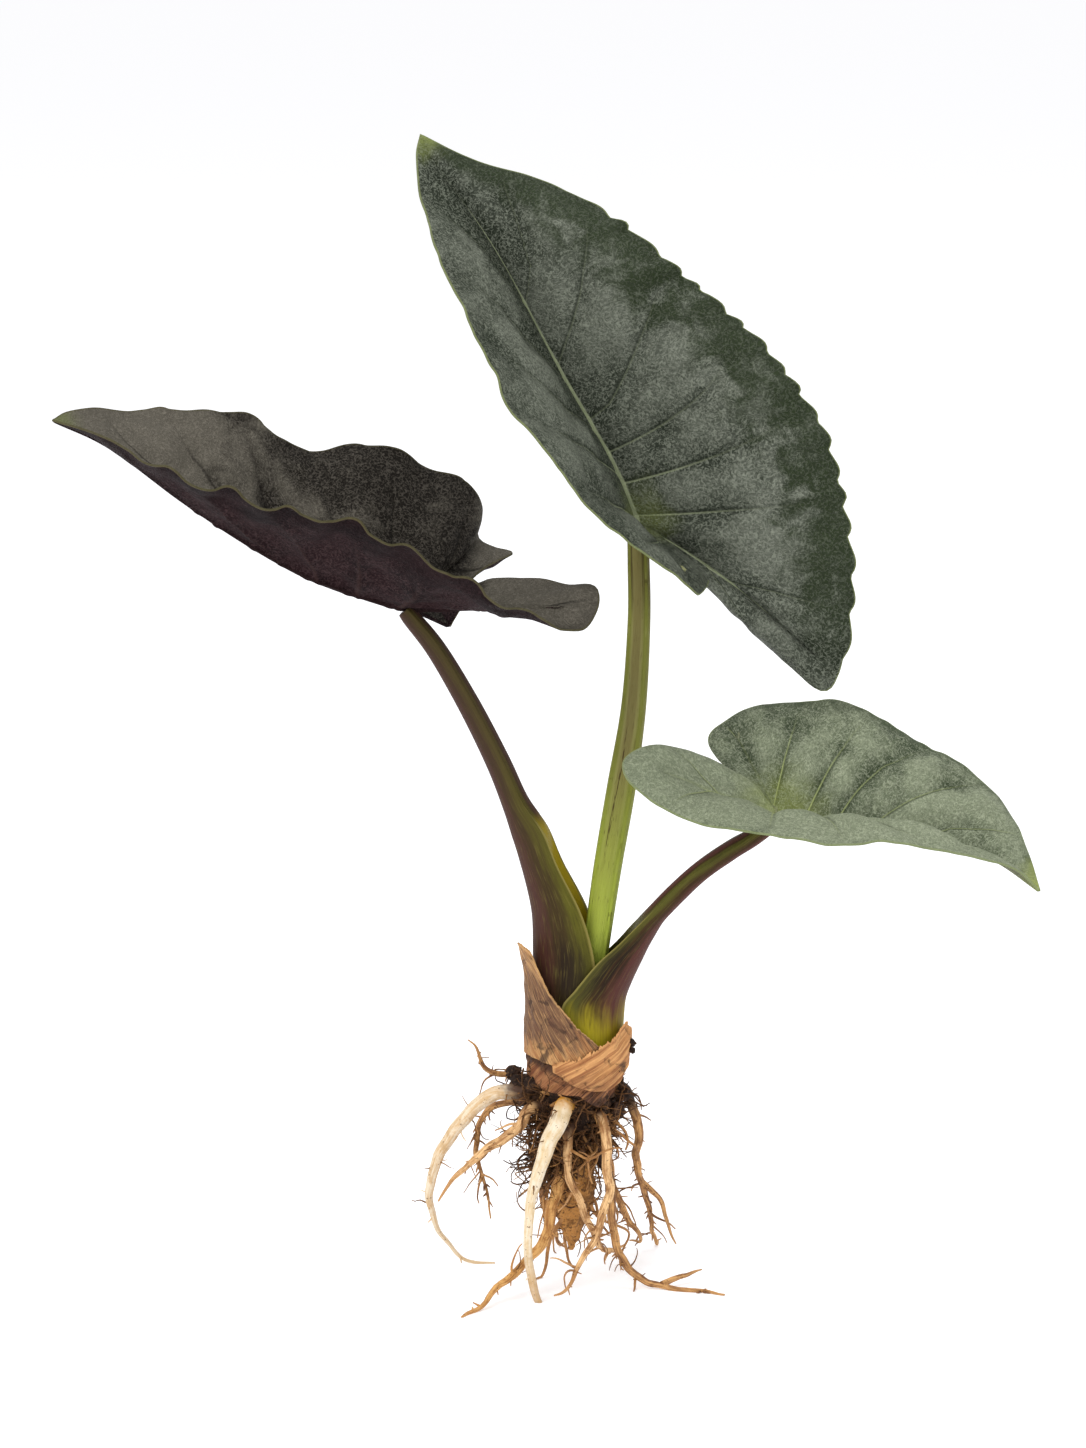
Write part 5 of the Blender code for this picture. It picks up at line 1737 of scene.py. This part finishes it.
ROOTS = (
    Root("root_pale_front", finish=PALE, rootlets=1, knobs=0.08, wobble=0.3, taper=0.2, stations=(
        (-2.4, -6.0, 48.8, 2.5), (-3.6, -12.6, 49.0, 2.55), (-5.4, -16.2, 45.2, 2.4), (-7.6, -18.8, 40.6, 2.1),
        (-10.4, -21.4, 33.0, 1.7), (-12.3, -23.0, 24.0, 1.35), (-12.7, -24.2, 14.0, 1.25), (-11.8, -24.6, 6.0, 1.3),
        (-9.8, -24.2, -0.4, 1.2))),
    Root("root_pale_left", finish=CREAM, rootlets=3, knobs=0.08, wobble=0.4, stations=(
        (-8.0, -2.0, 49.6, 2.2), (-16.6, -3.4, 51.2, 2.1), (-22.7, -4.2, 50.2, 1.95), (-30.1, -4.2, 43.6, 1.8),
        (-35.7, -2.4, 35.0, 1.6), (-38.6, 1.0, 25.2, 1.35), (-38.2, 5.4, 15.8, 1.05), (-34.8, 9.4, 7.6, 0.9),
        (-30.6, 12.0, 2.2, 0.85), (-27.0, 13.2, 0.6, 0.85), (-22.0, 13.8, 0.15, 0.75))),
    Root("root_tan_left", finish=TAN, rootlets=4, stations=(
        (-7.6, -4.4, 48.0, 1.6), (-12.6, -8.2, 47.6, 1.5), (-15.2, -9.6, 43.7, 1.45), (-19.6, -11.0, 40.2, 1.35),
        (-25.3, -13.0, 36.4, 1.2), (-30.2, -15.0, 32.6, 1.0), (-33.6, -16.0, 28.6, 0.8), (-35.7, -16.4, 25.0, 0.6))),
    Root("root_thin_left", finish=BROWN, rootlets=12, stations=(
        (-7.8, 3.4, 46.6, 1.0), (-15.0, 4.6, 46.4, 0.95), (-21.6, 5.2, 45.4, 0.9), (-25.8, 5.8, 40.4, 0.8),
        (-26.6, 6.2, 35.4, 0.75), (-26.0, 6.6, 29.6, 0.7), (-23.9, 7.6, 22.0, 0.6), (-22.4, 8.6, 13.8, 0.5))),
    Root("root_upper_left", finish=BROWN, rootlets=3, stations=(
        (-9.0, 2.4, 53.2, 1.0), (-17.0, 5.4, 53.6, 0.9), (-22.8, 4.6, 55.0, 0.8), (-25.4, 3.6, 58.2, 0.7),
        (-27.0, 3.2, 62.0, 0.55), (-28.8, 3.4, 63.8, 0.45))),
    Root("root_tan_middle", finish=TAN, rootlets=10, stations=(
        (-1.6, -3.6, 44.0, 1.4), (-2.0, -9.4, 42.6, 1.35), (-2.4, -11.8, 36.6, 1.2), (-1.3, -13.4, 29.4, 1.05),
        (1.6, -12.6, 21.4, 1.0), (5.2, -8.4, 13.0, 0.95), (8.0, 0.6, 7.0, 0.95), (11.0, 9.6, 4.4, 0.8),
        (13.0, 19.0, 3.4, 0.6))),
    Root("root_tan_right", finish=TAN, rootlets=9, stations=(
        (3.4, -3.4, 46.4, 1.5), (6.6, -9.6, 45.4, 1.45), (7.6, -13.0, 37.0, 1.35), (8.3, -16.4, 28.4, 1.25),
        (6.2, -19.4, 20.4, 1.2), (3.2, -22.0, 14.0, 1.1), (-0.4, -24.6, 8.8, 1.0), (-2.6, -28.4, 5.0, 0.85),
        (-5.6, -31.4, 3.6, 0.6))),
    Root("root_floor_left", finish=GOLD, rootlets=8, stations=(
        (-1.8, -1.6, 33.0, 1.5), (-5.0, -6.6, 27.4, 1.45), (-6.7, -10.4, 19.6, 1.4), (-10.0, -14.6, 12.0, 1.35),
        (-15.6, -19.6, 7.4, 1.25), (-21.2, -26.2, 4.2, 1.1), (-25.6, -32.8, 1.1, 1.0), (-29.8, -39.0, 0.2, 0.85))),
    Root("root_floor_right", finish=BROWN, rootlets=9, stations=(
        (2.4, 0.4, 36.0, 1.3), (7.4, -1.2, 30.6, 1.25), (9.0, -3.2, 21.4, 1.2), (9.6, -5.4, 12.8, 1.15),
        (12.8, -8.4, 5.8, 1.15), (17.4, -10.4, 2.2, 1.1), (24.5, -12.6, 0.7, 1.05), (31.4, -14.8, 0.5, 0.9),
        (38.2, -17.6, 0.4, 0.7)),
         branches=(((22.4, -11.8, 1.4, 0.8), (27.6, -7.0, 2.4, 0.7), (33.0, -1.6, 2.6, 0.5)),)),
    Root("root_outer_right", finish=BROWN, rootlets=14, stations=(
        (6.4, 2.6, 50.4, 1.4), (12.2, 4.6, 50.6, 1.3), (14.9, 5.6, 44.6, 1.25), (16.4, 6.8, 37.0, 1.2),
        (15.6, 9.4, 28.6, 1.1), (17.8, 13.4, 21.0, 1.0), (19.8, 20.0, 12.0, 0.9), (20.6, 26.6, 5.2, 0.85),
        (21.4, 31.4, 1.0, 0.85), (22.0, 36.0, 0.2, 0.75)),
         branches=(((17.0, 12.0, 23.6, 0.8), (21.6, 14.0, 18.2, 0.7), (24.2, 16.4, 10.4, 0.6),
                    (26.4, 18.6, 4.2, 0.5)),)),
    Root("root_inner_right", finish=BROWN, rootlets=10, stations=(
        (4.4, 4.6, 40.0, 1.2), (8.0, 6.8, 30.4, 1.1), (10.4, 8.6, 20.8, 1.05), (13.6, 12.2, 12.6, 0.95),
        (16.4, 15.4, 8.8, 0.85), (17.2, 20.4, 4.6, 0.7), (14.6, 25.6, 3.4, 0.5))),
    Root("root_back", finish=BROWN, rootlets=12, stations=(
        (-2.0, 4.0, 44.0, 1.4), (-5.4, 10.6, 40.6, 1.3), (-8.4, 15.4, 32.0, 1.2), (-9.4, 19.0, 22.0, 1.05),
        (-8.0, 22.4, 12.4, 0.95), (-5.6, 26.4, 5.0, 0.9), (-4.4, 30.6, 1.0, 0.85), (-3.0, 35.0, 0.2, 0.75))),
)

MAT = RootMat(
    CORM, soil=BarkFinish("soil", *palette("21140d 46301f 7a5a3c"), 0.8),
    finishes=(
        (Tone.DARK, BarkFinish("fine_dark", *palette("3c2614 6c4828 8c6436"), 0.8)),
        (Tone.LIGHT, BarkFinish("fine_light", *palette("6a4524 9c7040 b98d58"), 0.8)),
        (Tone.GOLD, RootFinish("fine_gold", *palette("c4935a 96683a 4a3020 b08450 5a3c24"),
                               0.0))),
    tufts=(
        Tuft(Tone.DARK, 230, (34, 52), (0, 360), (6, 14), (0.26, 0.46), (-0.7, 0.3), 0.03, 0.45, 0.6),
        Tuft(Tone.DARK, 110, (46, 57), (0, 360), (3, 8), (0.3, 0.55), (-0.9, 0.2), 0.12, 0.40),
        Tuft(Tone.DARK, 130, (30, 47), (150, 240), (12, 22), (0.28, 0.46), (-0.5, 0.0), 0.01, 0.36, 1.0),
        Tuft(Tone.DARK, 40, (36, 50), (-50, 40), (8, 15), (0.28, 0.46), (-0.6, 0.0), 0.04, 0.40, 0.8),
        Tuft(Tone.LIGHT, 45, (10, 30), (-50, 230), (5, 12), (0.2, 0.36), (-1.0, 0.0), 0.08, 0.36),
        Tuft(Tone.LIGHT, 60, (28, 46), (130, 240), (12, 20), (0.22, 0.36), (-0.6, 0.0), 0.05, 0.42, 0.7),
        Tuft(Tone.LIGHT, 50, (34, 50), (-60, 60), (8, 16), (0.22, 0.34), (-0.6, 0.0), 0.07, 0.38),
        Tuft(Tone.GOLD, 9, (16, 46), (-50, 230), (16, 30), (0.42, 0.75), (-1.8, -0.6), 0.14, 0.16),
        Tuft(Tone.GOLD, 8, (34, 46), (180, 360), (14, 28), (0.35, 0.65), (-1.2, -0.2), 0.16, 0.20),
        Tuft(Tone.GOLD, 5, (49, 53), (205, 260), (3, 5), (0.7, 1.1), (-0.3, 0.5), 0.10, 0.12))
)


def main() -> None:
    """Builds the plant and the studio."""
    logging.basicConfig(level=logging.INFO, format="%(name)s: %(message)s")
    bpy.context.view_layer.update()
    rng = np.random.default_rng(SEED)
    noise.seed_set(SEED)
    Studio().build()
    for blade in BLADES:
        blade.build()
    for stalk in STALKS:
        stalk.build()
    for scale in SHEATHS:
        scale.build()
    CORM.build()
    for root in ROOTS:
        root.build(rng)
    MAT.build(rng, ROOTS)
    deselect()


if __name__ == "__main__":
    main()
